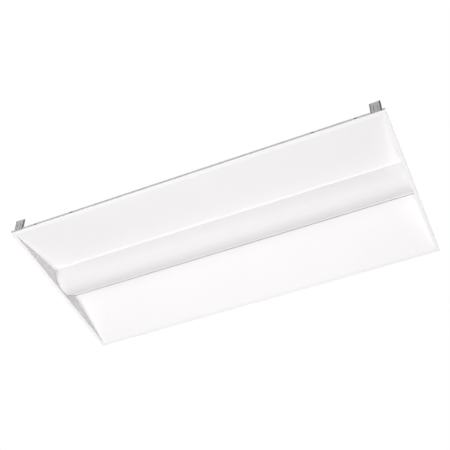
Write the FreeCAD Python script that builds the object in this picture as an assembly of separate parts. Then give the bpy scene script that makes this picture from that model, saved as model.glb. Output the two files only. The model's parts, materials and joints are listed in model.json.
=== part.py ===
"""Recessed troffer light for a 2 x 4 ft lay-in ceiling grid, in millimetres.

The origin is the centre of the flange's underside, which is the ceiling plane.
+X runs along the length, +Y across the width and +Z up into the ceiling void.
"Near" is the -Y side, "far" the +Y side, "left" the -X end and "right" the +X end.
Cross-sections are drawn as (w, z), where w is the distance from the middle of the light.
"""
import FreeCAD, Part
import math
import os

from FreeCAD import Vector

# ---------------------------------------------------------------- housing sheet
LENGTH = 1213.0               # overall length, flange edge to flange edge
WIDTH = 603.0                 # overall width
SHEET = 0.8                   # thickness of every folded steel sheet
BEND = 0.5                    # inside radius of the folds
SIDE_FLANGE = 13.5            # width of the flat flange along each long side
END_FLANGE = 10.0             # width of the flat flange along each short end
LIP_HEIGHT = 9.0              # upstand round the edge of the flange
JOINT_GAP = 0.2               # gap where two housing sheets butt together

# ---------------------------------------------------------------- light cavity
LEDGE_HALF_WIDTH = 72.0       # middle of the light to the outer edge of the lens door
LEDGE_WIDTH = 8.5             # width of the flat rail beside the lens
LEDGE_Z = 44.0                # height of that rail above the ceiling plane
NEAR_DOOR_GAP = 0.4           # slot between the latch side of the door and its wing
FAR_DOOR_GAP = 1.0            # slot between the hinge side of the door and its wing
CAVITY_HEIGHT = 36.0          # rail underside to the underside of the spine
CAVITY_SIDE_GAP = 11.2        # door edge to the inner face of the spine
SPINE_FOOT = 14.0             # width of the spine's feet on the wings

# ---------------------------------------------------------------- end plates
END_SHOULDER = 16.0           # end plate beyond the spine's side at full height
END_TAB = 12.0                # length of the end plate's top tab and of the brackets' feet
BRACKET_START = 22.0          # spine foot to the start of the bracket on the wing
BRACKET_MARGIN = 18.0         # end of that bracket to the flange
BRACKET_RISE = 8.0            # bracket's height against the end plate
TOP_TAB_HALF_WIDTH = 60.0
HOUSING_SCREW_OFFSET = 45.0   # sideways place of the screws in the top tab

# ---------------------------------------------------------------- lens door
LENS_DROP = 39.3              # how far the lens bulges below its seat on the rails
LENS_WALL = 2.0
LENS_EDGE_GAP = 0.5           # rail's inner edge to the lens at the seat
LENS_FIT = 0.5                # side play of the lens in the rails
RAIL_HEIGHT = 8.0
RAIL_TOP_WIDTH = 9.0
DOOR_END_GAP = 0.5            # door to end plate
HINGE_INSET = 4.0             # hinge axis inward of the door's far edge
HINGE_RISE = 4.3              # hinge axis above the rail's underside
HINGE_PIN_R = 1.2
HINGE_PIN_REACH = 3.5         # pin's length inside the end plate's inner face
HINGE_FIT = 0.05              # radial clearance of a turning pin
RIVET_HEAD_R = 3.0
RIVET_HEAD_H = 1.0

# ---------------------------------------------------------------- door catches
CATCH_POSITIONS = (-400.0, 0.0, 400.0)
CATCH_WIDTH = 20.0
CATCH_SHEET = 0.4
CATCH_GAP = 0.3               # spring nose to the rail
CATCH_NOSE_RISE = 5.0         # nose above the rail's underside
CATCH_TAIL_RISE = 2.2         # lower end of the spring above the rail's underside
CATCH_TAIL_OUT = 3.6          # lower end of the spring outward of the nose
CATCH_BEND_RISE = 16.0        # bend above the rail's underside
CATCH_TOP_RISE = 28.0
CATCH_RIVET_R = 1.6

# ---------------------------------------------------------------- grid clips
CLIP_WIDTH = 31.0
CLIP_HEIGHT = 50.0            # top of the clip above the ceiling plane
CLIP_DEPTH = 11.0             # depth of its return flanges
CLIP_END_OFFSET = 9.5         # clip's outer edge from the end of the light
CLIP_NOTCH_GAP = 0.3
CLIP_BEND = 1.2               # inside radius of the clip's upright bends
CLIP_CORNER = 4.0             # rounding of the clip's top corners
CLIP_SHOULDER = 6.0           # chamfer on the top inner corner of a return flange
CLIP_LEAF_GAP = 1.6           # clip's face to the stiffening leaf behind it
CLIP_LEAF_HEIGHT = 36.0       # top of that leaf above the ceiling plane
TONGUE_WIDTH = 10.0
TONGUE_BASE_Z = 7.0
TONGUE_LENGTH = 25.0
TONGUE_SLOT = 1.4             # slot cut round the tongue
TONGUE_ROOT_GAP = 0.3
HANGER_HOLE_R = 3.25
HANGER_HOLE_DROP = 9.0        # hole centre below the clip's top
HANGER_HOLE_INSET = 6.0       # hole centre inward of the clip's face

# ---------------------------------------------------------------- slots in the side lips
TIE_SLOT_SETBACKS = (86.5, 214.5)     # slot centres from the end of the light
TIE_SLOT_LENGTH = 14.0
TIE_SLOT_HEIGHT = 3.2
TIE_SLOT_Z = 5.0
SLOT_FLAP_DEPTH = 4.0         # lanced flap folded in over each slot
SLOT_FLAP_LENGTH = 10.0

# ---------------------------------------------------------------- light engine
ROW_OFFSET = 30.0             # middle of the light to the middle of a board row
BOARD_WIDTH = 24.0
BOARD_THICKNESS = 1.6
BOARD_END_MARGIN = 16.0       # board end to end plate
BOARD_MIDDLE_GAP = 10.0       # gap between two boards of a row
CHIP_LENGTH = 3.5
CHIP_WIDTH = 2.8
CHIP_HEIGHT = 0.7
CHIP_PITCH = 20.0
CONNECTOR_LENGTH = 8.0
CONNECTOR_WIDTH = 10.0
CONNECTOR_HEIGHT = 4.0
CONNECTOR_INSET = 4.0         # connector to the board's end
BOARD_SCREWS = 4              # screws in each board
BOARD_SCREW_MARGIN = 30.0
BOARD_SCREW_R = 1.5
BOARD_SCREW_HEAD_R = 2.8
BOARD_SCREW_HEAD_H = 1.5
BOARD_SCREW_TIP = 2.0         # screw beyond the spine
SCREW_FIT = 0.1               # radial clearance of a screw in its hole
LEAD_R = 0.8                  # radius over a lead's insulation
LEAD_PITCH = 2.6              # spacing of two leads side by side

# ---------------------------------------------------------------- wiring compartment
TRAY_LENGTH = 340.0
TRAY_WIDTH = 90.0
TRAY_FLANGE = 11.0            # inward flange on the outer wall
TRAY_SPINE_GAP = 0.2
KNOCKOUT_R = 11.1             # hole for a 1/2 in conduit fitting
KNOCKOUT_DISC_GAP = 0.2
KNOCKOUT_W_INSET = 40.0       # hole centre inward of the tray's outer wall
KNOCKOUT_DROP = 22.0          # hole centre below the tray's rim
DRIVER_LENGTH = 230.0
DRIVER_WIDTH = 40.0
DRIVER_HEIGHT = 26.0
DRIVER_EDGE = 3.0             # rounding of the driver's long edges
DRIVER_TAB = 12.0
DRIVER_TAB_THICKNESS = 1.0
DRIVER_TAB_WIDTH = 20.0
DRIVER_END_MARGIN = 22.0      # driver's right end to the tray's right end
DRIVER_SIDE_MARGIN = 18.0     # driver to the tray's inner wall, along the slope
DRIVER_SCREW_HEAD_R = 3.5
DRIVER_SCREW_HEAD_H = 2.0
DRIVER_SCREW_R = 2.0
SPLICE_LENGTH = 18.0          # push-in wire connectors
SPLICE_WIDTH = 8.0
SPLICE_HEIGHT = 9.0
SPLICE_GAP = 24.0             # driver to the wire connectors
SPLICE_SIDE = 10.0            # first lead from the driver's inner long face
GROUND_SIDE = 15.0            # ground screw from the driver's outer long face
GROUND_SETBACK = 36.0         # ground screw from the driver's left end
GROUND_SCREW_HEAD_R = 4.0
GROUND_SCREW_HEAD_H = 2.4
TERMINAL_LENGTH = 9.0         # screw centre to the crimped end of the ring terminal
TERMINAL_THICKNESS = 2.4
OUTPUT_SETBACK = 30.0         # grommet from the driver's left end
OUTPUT_RISE = 13.0            # output leads above the tray's floor
GROMMET_DROP = 10.0           # grommet centre below the tray's rim
GROMMET_R = 4.5               # grommet in the sheet
GROMMET_FLANGE_R = 6.0
GROMMET_FLANGE = 1.2
GROMMET_BORE_R = 2.6

# ---------------------------------------------------------------- access cover
COVER_GAP = 0.3               # cover to tray
COVER_LIP = 7.0
KNUCKLE_R = 2.0
KNUCKLE_LENGTH = 24.0
KNUCKLE_GAP = 0.4
KNUCKLE_COUNT = 5             # fixed and moving knuckles by turns
COVER_PIN_R = 1.0
LEAF_HEIGHT = 12.0
COVER_SCREW_R = 2.0
COVER_SCREW_FIT = 0.6
COVER_SCREW_REACH = 5.0
COVER_SCREW_HEAD_R = 7.0
COVER_SCREW_HEAD_H = 5.0
COVER_SCREW_KNURLS = 18

# ---------------------------------------------------------------- worked-out sizes
half_length = LENGTH / 2
half_width = WIDTH / 2
wing_foot_w = half_width - SIDE_FLANGE
end_x = half_length - END_FLANGE                  # inner face of an end plate
slope = LEDGE_Z / (wing_foot_w - LEDGE_HALF_WIDTH)
slope_angle = math.atan(slope)
sheet_rise = SHEET / math.cos(slope_angle)        # sheet thickness measured upwards on the slope
cavity_w = LEDGE_HALF_WIDTH + CAVITY_SIDE_GAP     # inner face of the spine's sides
spine_w = cavity_w + SHEET
cavity_z = LEDGE_Z + CAVITY_HEIGHT
top_z = cavity_z + SHEET
foot_w = spine_w + SPINE_FOOT
ledge_inner_w = LEDGE_HALF_WIDTH - LEDGE_WIDTH
seat_z = LEDGE_Z + SHEET                          # where the lens sits on the rails
lens_half_chord = ledge_inner_w - LENS_EDGE_GAP
lens_radius = (lens_half_chord ** 2 + LENS_DROP ** 2) / (2 * LENS_DROP)
lens_centre_z = seat_z - LENS_DROP + lens_radius
door_x = end_x - DOOR_END_GAP                     # outer face of the door's end
lens_x = door_x - SHEET
hinge_w = LEDGE_HALF_WIDTH - HINGE_INSET
hinge_z = LEDGE_Z + HINGE_RISE
clip_outer_x = half_length - CLIP_END_OFFSET
clip_inner_x = clip_outer_x - CLIP_WIDTH
clip_mid_x = clip_outer_x - CLIP_WIDTH / 2
board_z = cavity_z - BOARD_THICKNESS              # lit face of a board
board_outer_x = end_x - BOARD_END_MARGIN
tray_inner_w = spine_w + TRAY_SPINE_GAP
tray_outer_w = tray_inner_w + TRAY_WIDTH
tray_half = TRAY_LENGTH / 2
rim_z = cavity_z                                  # tray's rim, level with the cavity's top
driver_right_x = tray_half - DRIVER_END_MARGIN
driver_left_x = driver_right_x - DRIVER_LENGTH
grommet_x = driver_left_x - OUTPUT_SETBACK
cover_z = rim_z + COVER_GAP
cover_hinge_w = tray_inner_w + SHEET + KNUCKLE_R
cover_hinge_z = cover_z + KNUCKLE_R


# ---------------------------------------------------------------- drawing helpers
def wing_under(w):
    """Height of a wing's visible underside at distance w from the middle."""
    return LEDGE_Z - (w - LEDGE_HALF_WIDTH) * slope


def wing_top(w):
    """Height of a wing's back."""
    return wing_under(w) + sheet_rise


def box(x0, x1, y0, y1, z0, z1):
    """Box between two corners."""
    return Part.makeBox(x1 - x0, y1 - y0, z1 - z0, Vector(x0, y0, z0))


def prism(points, x0, x1):
    """Polygon of (w, z) points drawn out along X."""
    corners = [Vector(x0, w, z) for w, z in points]
    face = Part.Face(Part.makePolygon(corners + corners[:1]))
    return face.extrude(Vector(x1 - x0, 0, 0))


def rod_x(radius, x0, x1, y, z):
    """Cylinder along X."""
    return Part.makeCylinder(radius, x1 - x0, Vector(x0, y, z), Vector(1, 0, 0))


def rod_y(radius, y0, y1, x, z):
    """Cylinder along Y."""
    return Part.makeCylinder(radius, y1 - y0, Vector(x, y0, z), Vector(0, 1, 0))


def rod_z(radius, z0, z1, x, y):
    """Cylinder along Z."""
    return Part.makeCylinder(radius, z1 - z0, Vector(x, y, z0), Vector(0, 0, 1))


def unit(a, b):
    """Unit vector from a to b in the (w, z) plane."""
    dw = b[0] - a[0]
    dz = b[1] - a[1]
    size = math.hypot(dw, dz)
    return dw / size, dz / size


def offset_side(points, distance):
    """Polyline moved sideways, to the left of its direction where distance is positive."""
    moved = []
    for i, point in enumerate(points):
        before = unit(points[i - 1], point) if i > 0 else unit(point, points[i + 1])
        after = unit(point, points[i + 1]) if i < len(points) - 1 else before
        half = 1 + before[0] * after[0] + before[1] * after[1]
        left_w = -(before[1] + after[1]) / half
        left_z = (before[0] + after[0]) / half
        moved.append((point[0] + left_w * distance, point[1] + left_z * distance))
    return moved


def rounded_edges(points, radii, x):
    """Line and arc edges along a polyline whose inner corners have the given radii."""
    def at(p):
        return Vector(x, p[0], p[1])
    edges = []
    start = points[0]
    for before, corner, after, radius in zip(points, points[1:], points[2:], radii):
        d1 = unit(before, corner)
        d2 = unit(corner, after)
        half_turn = math.acos(max(-1.0, min(1.0, d1[0] * d2[0] + d1[1] * d2[1]))) / 2
        back = radius * math.tan(half_turn)
        first = (corner[0] - d1[0] * back, corner[1] - d1[1] * back)
        last = (corner[0] + d2[0] * back, corner[1] + d2[1] * back)
        inward = unit((0, 0), (d2[0] - d1[0], d2[1] - d1[1]))
        reach = radius / math.cos(half_turn) - radius
        middle = (corner[0] + inward[0] * reach, corner[1] + inward[1] * reach)
        edges.append(Part.makeLine(at(start), at(first)))
        edges.append(Part.Arc(at(first), at(middle), at(last)).toShape())
        start = last
    edges.append(Part.makeLine(at(start), at(points[-1])))
    return edges


def folded_sheet(points, x0, x1, left=True, thickness=SHEET, bend=BEND):
    """Sheet folded along a (w, z) polyline, thickened to its left or right, drawn out along X."""
    side = 1 if left else -1
    turns = []
    for a, b, c in zip(points, points[1:], points[2:]):
        d1 = unit(a, b)
        d2 = unit(b, c)
        turns.append(side * (d1[0] * d2[1] - d1[1] * d2[0]))
    near_radii = [bend + thickness if turn > 0 else bend for turn in turns]
    back_radii = [bend if turn > 0 else bend + thickness for turn in turns]
    back = offset_side(points, side * thickness)
    edges = rounded_edges(points, near_radii, x0)
    edges += rounded_edges(back, back_radii, x0)
    for a, b in ((points[0], back[0]), (points[-1], back[-1])):
        edges.append(Part.makeLine(Vector(x0, a[0], a[1]), Vector(x0, b[0], b[1])))
    wire = Part.Wire(Part.__sortEdges__(edges))
    return Part.Face(wire).extrude(Vector(x1 - x0, 0, 0))


def slot_y(x, z, length, height, y0, y1):
    """Round-ended slot cutter along Y, its long side along X."""
    radius = height / 2
    reach = length / 2 - radius
    body = box(x - reach, x + reach, y0, y1, z - radius, z + radius)
    ends = [rod_y(radius, y0, y1, x + side * reach, z) for side in (-1, 1)]
    return body.fuse(ends)


def near_side(shape):
    """The same shape on the near side of the light."""
    return shape.mirror(Vector(0, 0, 0), Vector(0, 1, 0))


def left_end(shape):
    """The same shape at the left end of the light."""
    return shape.mirror(Vector(0, 0, 0), Vector(1, 0, 0))


def save(node, shapes):
    """Write one sub-part."""
    solids = []
    for shape in shapes if isinstance(shapes, list) else [shapes]:
        solids += shape.removeSplitter().Solids
    whole = solids[0] if len(solids) == 1 else Part.makeCompound(solids)
    if not whole.isValid():
        raise ValueError(node + " isn't a valid shape")
    whole.exportStep(os.path.join("parts", node + ".step"))


# ---------------------------------------------------------------- housing
def wing(edge_gap):
    """Far wing: lip, flange and reflector slope, with the lip's notches, slots and flaps."""
    edge_w = LEDGE_HALF_WIDTH + edge_gap
    path = [(half_width, LIP_HEIGHT), (half_width, 0), (wing_foot_w, 0), (edge_w, wing_under(edge_w))]
    sheet = folded_sheet(path, -half_length, half_length, left=False)
    keep_x = end_x - JOINT_GAP
    inner_w = wing_foot_w + JOINT_GAP
    notch_low = clip_inner_x - CLIP_NOTCH_GAP
    notch_high = clip_outer_x + CLIP_NOTCH_GAP
    lip_y = half_width - SHEET - BEND
    flap_z = TIE_SLOT_Z + TIE_SLOT_HEIGHT / 2
    cutters = []
    flaps = []
    for side in (-1, 1):
        low, high = sorted((side * keep_x, side * (half_length + 1)))
        cutters.append(box(low, high, 0, inner_w, -1, cavity_z))
        low, high = sorted((side * notch_low, side * notch_high))
        cutters.append(box(low, high, lip_y, half_width + 1, SHEET, LIP_HEIGHT + 1))
        for setback in TIE_SLOT_SETBACKS:
            x = side * (half_length - setback)
            cutters.append(slot_y(x, TIE_SLOT_Z, TIE_SLOT_LENGTH, TIE_SLOT_HEIGHT, lip_y, half_width + 1))
            flaps.append(box(x - SLOT_FLAP_LENGTH / 2, x + SLOT_FLAP_LENGTH / 2,
                             half_width - SHEET - SLOT_FLAP_DEPTH, half_width - SHEET / 2,
                             flap_z, flap_z + SHEET))
    return sheet.cut(cutters).fuse(flaps)


def end_plate():
    """Right end plate: web, flange, lip and the tab that lies on the spine."""
    flange_y = wing_foot_w
    lip_y = half_width - SHEET - BEND - JOINT_GAP
    shoulder = spine_w + END_SHOULDER
    web_top = top_z + SHEET
    outline = [(flange_y, 0), (flange_y, LIP_HEIGHT), (shoulder, wing_top(shoulder) + END_TAB),
               (shoulder, web_top)]
    outline += [(-w, z) for w, z in reversed(outline)]
    web = prism(outline, end_x, end_x + SHEET)
    flange = box(end_x, half_length, -flange_y, flange_y, 0, SHEET)
    lip = box(half_length - SHEET, half_length, -lip_y, lip_y, SHEET, LIP_HEIGHT)
    lip_foot = box(half_length - SHEET, half_length, -flange_y, flange_y, 0, LIP_HEIGHT)
    top_tab = box(end_x - END_TAB, end_x + SHEET, -TOP_TAB_HALF_WIDTH, TOP_TAB_HALF_WIDTH,
                  top_z, web_top)
    plate = web.fuse([flange, lip, lip_foot, top_tab])
    holes = [rod_x(HINGE_PIN_R + HINGE_FIT, end_x - 1, end_x + SHEET + 1, hinge_w, hinge_z)]
    for side in (-1, 1):
        holes.append(rod_z(BOARD_SCREW_R + SCREW_FIT, top_z - 1, web_top + 1,
                           end_x - END_TAB / 2, side * HOUSING_SCREW_OFFSET))
    return plate.cut(holes)


def wing_brackets():
    """Angles in the right end's two corners, spot-welded to the end plate and to the wings."""
    start = foot_w + BRACKET_START
    end = wing_foot_w - BRACKET_MARGIN
    foot = [(start, wing_top(start)), (end, wing_top(end)),
            (end, wing_top(end) + sheet_rise), (start, wing_top(start) + sheet_rise)]
    upright = [(start, wing_top(start)), (end, wing_top(end)),
               (end, wing_top(end) + BRACKET_RISE), (start, wing_top(start) + BRACKET_RISE)]
    angle = prism(foot, end_x - END_TAB, end_x).fuse(prism(upright, end_x - SHEET, end_x))
    return [angle, near_side(angle)]


def board_screw_points():
    """Places of the board screws as (x, y)."""
    length = board_outer_x - BOARD_MIDDLE_GAP / 2
    step = (length - 2 * BOARD_SCREW_MARGIN) / (BOARD_SCREWS - 1)
    points = []
    for side_x in (-1, 1):
        for side_y in (-1, 1):
            for i in range(BOARD_SCREWS):
                x = BOARD_MIDDLE_GAP / 2 + BOARD_SCREW_MARGIN + i * step
                points.append((side_x * x, side_y * ROW_OFFSET))
    return points


def spine_channel():
    """Hat-shaped channel over the lens that carries the boards and joins the two wings."""
    half = [(foot_w, wing_top(foot_w)), (cavity_w, wing_top(cavity_w)), (cavity_w, cavity_z)]
    path = half + [(-w, z) for w, z in reversed(half)]
    reach = end_x - JOINT_GAP
    sheet = folded_sheet(path, -reach, reach, left=False)
    foot_reach = tray_half + JOINT_GAP
    sheet = sheet.cut(box(-foot_reach, foot_reach, spine_w, foot_w + 1, 0, wing_top(spine_w) + SPINE_FOOT))
    holes = [rod_z(BOARD_SCREW_R + SCREW_FIT, cavity_z - 1, top_z + 1, x, y)
             for x, y in board_screw_points()]
    for side_x in (-1, 1):
        for side_y in (-1, 1):
            holes.append(rod_z(BOARD_SCREW_R + SCREW_FIT, cavity_z - 1, top_z + 1,
                               side_x * (end_x - END_TAB / 2), side_y * HOUSING_SCREW_OFFSET))
    for x in CATCH_POSITIONS:
        holes.append(rod_y(CATCH_RIVET_R + SCREW_FIT, -spine_w - 1, -cavity_w + 1, x, catch_rivet_z()))
    holes.append(rod_y(GROMMET_R, cavity_w - 1, spine_w + 1, grommet_x, rim_z - GROMMET_DROP))
    return sheet.cut(holes)


def housing_screws():
    """Screws that hold the end plates' top tabs to the spine."""
    screws = []
    for side_x in (-1, 1):
        for side_y in (-1, 1):
            x = side_x * (end_x - END_TAB / 2)
            y = side_y * HOUSING_SCREW_OFFSET
            head = rod_z(BOARD_SCREW_HEAD_R, top_z + SHEET, top_z + SHEET + BOARD_SCREW_HEAD_H, x, y)
            shank = rod_z(BOARD_SCREW_R, cavity_z - BOARD_SCREW_TIP, top_z + SHEET, x, y)
            screws.append(head.fuse(shank))
    return screws


# ---------------------------------------------------------------- lens door
def lens():
    """Frosted lens: a round trough with a flat foot along each side."""
    inner_radius = lens_radius - LENS_WALL
    foot_top = seat_z + LENS_WALL
    outer_w = LEDGE_HALF_WIDTH - SHEET - LENS_FIT
    inner_chord = math.sqrt(inner_radius ** 2 - (lens_centre_z - foot_top) ** 2)

    def at(w, z):
        return Vector(-lens_x, w, z)

    def line(a, b):
        return Part.makeLine(at(*a), at(*b))
    bottom = lens_centre_z - lens_radius
    edges = [
        Part.Arc(at(-lens_half_chord, seat_z), at(0, bottom), at(lens_half_chord, seat_z)).toShape(),
        line((lens_half_chord, seat_z), (outer_w, seat_z)),
        line((outer_w, seat_z), (outer_w, foot_top)),
        line((outer_w, foot_top), (inner_chord, foot_top)),
        Part.Arc(at(inner_chord, foot_top), at(0, bottom + LENS_WALL), at(-inner_chord, foot_top)).toShape(),
        line((-inner_chord, foot_top), (-outer_w, foot_top)),
        line((-outer_w, foot_top), (-outer_w, seat_z)),
        line((-outer_w, seat_z), (-lens_half_chord, seat_z)),
    ]
    return Part.Face(Part.Wire(edges)).extrude(Vector(2 * lens_x, 0, 0))


def door_rail():
    """Far rail: a C-shaped sheet whose lower leg is the visible ledge beside the lens."""
    top = LEDGE_Z + RAIL_HEIGHT
    path = [(ledge_inner_w, LEDGE_Z), (LEDGE_HALF_WIDTH, LEDGE_Z), (LEDGE_HALF_WIDTH, top),
            (LEDGE_HALF_WIDTH - RAIL_TOP_WIDTH, top)]
    return folded_sheet(path, -lens_x, lens_x)


def door_end():
    """Right end of the door: a plate with the lens's outline that closes the trough."""
    top = LEDGE_Z + RAIL_HEIGHT
    bar = box(lens_x, door_x, -LEDGE_HALF_WIDTH, LEDGE_HALF_WIDTH, LEDGE_Z, top)
    disc = rod_x(lens_radius, lens_x, door_x, 0, lens_centre_z)
    below = box(lens_x, door_x, -lens_radius, lens_radius, lens_centre_z - lens_radius, top)
    plate = bar.fuse(disc.common(below))
    return plate.cut(rod_x(HINGE_PIN_R + HINGE_FIT, lens_x - 1, door_x + 1, hinge_w, hinge_z))


def hinge_pin():
    """Right hinge pin: it is headed outside the end plate and carries the door."""
    pin = rod_x(HINGE_PIN_R, end_x - HINGE_PIN_REACH, end_x + SHEET, hinge_w, hinge_z)
    head = rod_x(RIVET_HEAD_R, end_x + SHEET, end_x + SHEET + RIVET_HEAD_H, hinge_w, hinge_z)
    return pin.fuse(head)


def catch_rivet_z():
    """Height of the catch rivets: midway up the spring's flat upper leg."""
    return LEDGE_Z + (CATCH_BEND_RISE + CATCH_TOP_RISE) / 2


def door_catches():
    """Leaf springs on the spine that press on the door's near rail."""
    flat_w = cavity_w - CATCH_SHEET
    nose_w = LEDGE_HALF_WIDTH + CATCH_GAP
    path = [(flat_w, LEDGE_Z + CATCH_TOP_RISE), (flat_w, LEDGE_Z + CATCH_BEND_RISE),
            (nose_w, LEDGE_Z + CATCH_NOSE_RISE), (nose_w + CATCH_TAIL_OUT, LEDGE_Z + CATCH_TAIL_RISE)]
    springs = []
    for x in CATCH_POSITIONS:
        strip = folded_sheet(path, x - CATCH_WIDTH / 2, x + CATCH_WIDTH / 2,
                             thickness=CATCH_SHEET)
        hole = rod_y(CATCH_RIVET_R + SCREW_FIT, flat_w - 1, cavity_w + 1, x, catch_rivet_z())
        springs.append(near_side(strip.cut(hole)))
    return springs


def catch_rivets():
    """One rivet through each leaf spring and the side of the spine."""
    flat_w = cavity_w - CATCH_SHEET
    rivets = []
    for x in CATCH_POSITIONS:
        z = catch_rivet_z()
        shank = rod_y(CATCH_RIVET_R, flat_w, spine_w, x, z)
        inner = rod_y(RIVET_HEAD_R, flat_w - RIVET_HEAD_H, flat_w, x, z)
        outer = rod_y(RIVET_HEAD_R, spine_w, spine_w + RIVET_HEAD_H, x, z)
        rivets.append(near_side(shank.fuse([inner, outer])))
    return rivets


# ---------------------------------------------------------------- grid clips
def upright_edges(solid, y):
    """The solid's edges along Z in the plane at y."""
    return [edge for edge in solid.Edges
            if edge.BoundBox.ZLength > 1 and abs(edge.BoundBox.YMin - y) < 0.001
            and abs(edge.BoundBox.YMax - y) < 0.001 and edge.BoundBox.XLength < 0.001]


def clip_top_corners(solid):
    """The solid's two short edges along Y at the clip's top."""
    return [edge for edge in solid.Edges
            if edge.BoundBox.ZMin > CLIP_HEIGHT - 0.001 and edge.BoundBox.XLength < 0.001]


def grid_clip():
    """Clip at the far right corner: an upright channel with a tongue window, a foot and a leaf."""
    face_y = half_width - SHEET
    back_y = half_width - CLIP_DEPTH
    outside = box(clip_inner_x, clip_outer_x, back_y, half_width, SHEET, CLIP_HEIGHT)
    outside = outside.makeFillet(CLIP_BEND + SHEET, upright_edges(outside, half_width))
    inside = box(clip_inner_x + SHEET, clip_outer_x - SHEET, back_y - 1, face_y, 0, CLIP_HEIGHT + 1)
    inside = inside.makeFillet(CLIP_BEND, upright_edges(inside, face_y))
    foot = box(clip_inner_x + SHEET, clip_outer_x - SHEET, back_y, face_y, SHEET, 2 * SHEET)
    leaf_y = face_y - CLIP_LEAF_GAP
    leaf = box(clip_inner_x + SHEET, clip_outer_x - SHEET, leaf_y - SHEET, leaf_y, SHEET, CLIP_LEAF_HEIGHT)
    profile = [(back_y, SHEET), (half_width, SHEET), (half_width, CLIP_HEIGHT),
               (back_y + CLIP_SHOULDER, CLIP_HEIGHT), (back_y, CLIP_HEIGHT - CLIP_SHOULDER)]
    trim = prism(profile, clip_inner_x, clip_outer_x)
    trim = trim.makeFillet(CLIP_CORNER, clip_top_corners(trim))
    slot_half = TONGUE_WIDTH / 2 + TONGUE_SLOT
    slot_low = TONGUE_BASE_Z - SHEET / 2 - TONGUE_ROOT_GAP
    slot_top = TONGUE_BASE_Z + TONGUE_LENGTH + TONGUE_SLOT
    window = box(clip_mid_x - slot_half, clip_mid_x + slot_half, face_y - SHEET, half_width + 1,
                 slot_low, slot_top - slot_half)
    arch = rod_y(slot_half, face_y - SHEET, half_width + 1, clip_mid_x, slot_top - slot_half)
    hole = rod_x(HANGER_HOLE_R, clip_inner_x - 1, clip_outer_x + 1,
                 half_width - HANGER_HOLE_INSET, CLIP_HEIGHT - HANGER_HOLE_DROP)
    return outside.cut(inside).common(trim).fuse([foot, leaf]).cut([window, arch, hole])


def clip_tongue():
    """Tongue of the far right clip, bent out at its root to lock onto the grid."""
    face_y = half_width - SHEET
    radius = TONGUE_WIDTH / 2
    top = TONGUE_BASE_Z + TONGUE_LENGTH
    low = clip_mid_x - radius
    high = clip_mid_x + radius
    blade = box(low, high, face_y, half_width, TONGUE_BASE_Z, top - radius)
    tip = rod_y(radius, face_y, half_width, clip_mid_x, top - radius)
    root = rod_x(SHEET / 2, low, high, half_width - SHEET / 2, TONGUE_BASE_Z)
    return blade.fuse([tip, root])


def four_corners(shape):
    """A corner piece at each corner: near left, near right, far left and far right."""
    return [left_end(near_side(shape)), near_side(shape), left_end(shape), shape]


# ---------------------------------------------------------------- light engine
def board_span():
    """Inner and outer X of the boards on the right half."""
    return BOARD_MIDDLE_GAP / 2, board_outer_x


def led_board(side_x, side_y):
    """One board, with its screw holes."""
    low, high = sorted(side_x * x for x in board_span())
    y = side_y * ROW_OFFSET
    board = box(low, high, y - BOARD_WIDTH / 2, y + BOARD_WIDTH / 2, board_z, cavity_z)
    holes = [rod_z(BOARD_SCREW_R + SCREW_FIT, board_z - 1, cavity_z + 1, x, screw_y)
             for x, screw_y in board_screw_points() if low < x < high and abs(screw_y - y) < BOARD_WIDTH]
    return board.cut(holes)


def chip_positions():
    """X of the chips on the right half: evenly spaced, clear of the connectors and the screws."""
    inner, outer = board_span()
    first = inner + CONNECTOR_INSET + CONNECTOR_LENGTH + CHIP_PITCH / 2
    last = outer - CHIP_PITCH / 2
    count = int((last - first) / CHIP_PITCH) + 1
    blocks = [(x, BOARD_SCREW_HEAD_R) for x, y in board_screw_points() if x > 0]
    blocks.append((abs(grommet_x), CONNECTOR_LENGTH / 2))
    positions = []
    for i in range(count):
        x = first + i * CHIP_PITCH
        if all(abs(x - middle) > reach + CHIP_LENGTH for middle, reach in blocks):
            positions.append(x)
    return positions


def led_chips():
    """Light-emitting chips on the boards' lower faces."""
    chips = []
    for x in chip_positions():
        for side_x in (-1, 1):
            for side_y in (-1, 1):
                middle_x = side_x * x
                middle_y = side_y * ROW_OFFSET
                chips.append(box(middle_x - CHIP_LENGTH / 2, middle_x + CHIP_LENGTH / 2,
                                 middle_y - CHIP_WIDTH / 2, middle_y + CHIP_WIDTH / 2,
                                 board_z - CHIP_HEIGHT, board_z))
    return chips


def lead_connector(x, y):
    """Board connector centred at x, y."""
    return box(x - CONNECTOR_LENGTH / 2, x + CONNECTOR_LENGTH / 2, y - CONNECTOR_WIDTH / 2,
               y + CONNECTOR_WIDTH / 2, board_z - CONNECTOR_HEIGHT, board_z)


def connector_x():
    """X of the connectors at the boards' inner ends, on the right half."""
    return board_span()[0] + CONNECTOR_INSET + CONNECTOR_LENGTH / 2


def board_connectors():
    """A connector at the inner end of each board."""
    return [lead_connector(side_x * connector_x(), side_y * ROW_OFFSET)
            for side_x in (-1, 1) for side_y in (-1, 1)]


def driver_connectors():
    """Connectors that take the driver's output and link the two rows."""
    return [lead_connector(grommet_x, side_y * ROW_OFFSET) for side_y in (-1, 1)]


def board_jumpers():
    """Leads that join the two boards of a row, and the pair that joins the rows."""
    z = board_z - CONNECTOR_HEIGHT / 2
    reach_x = connector_x() - CONNECTOR_LENGTH / 2
    reach_y = ROW_OFFSET - CONNECTOR_WIDTH / 2
    leads = []
    for side in (-1, 1):
        shift = side * LEAD_PITCH / 2
        for side_y in (-1, 1):
            leads.append(rod_x(LEAD_R, -reach_x, reach_x, side_y * ROW_OFFSET + shift, z))
        leads.append(rod_y(LEAD_R, -reach_y, reach_y, grommet_x + shift, z))
    return leads


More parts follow.
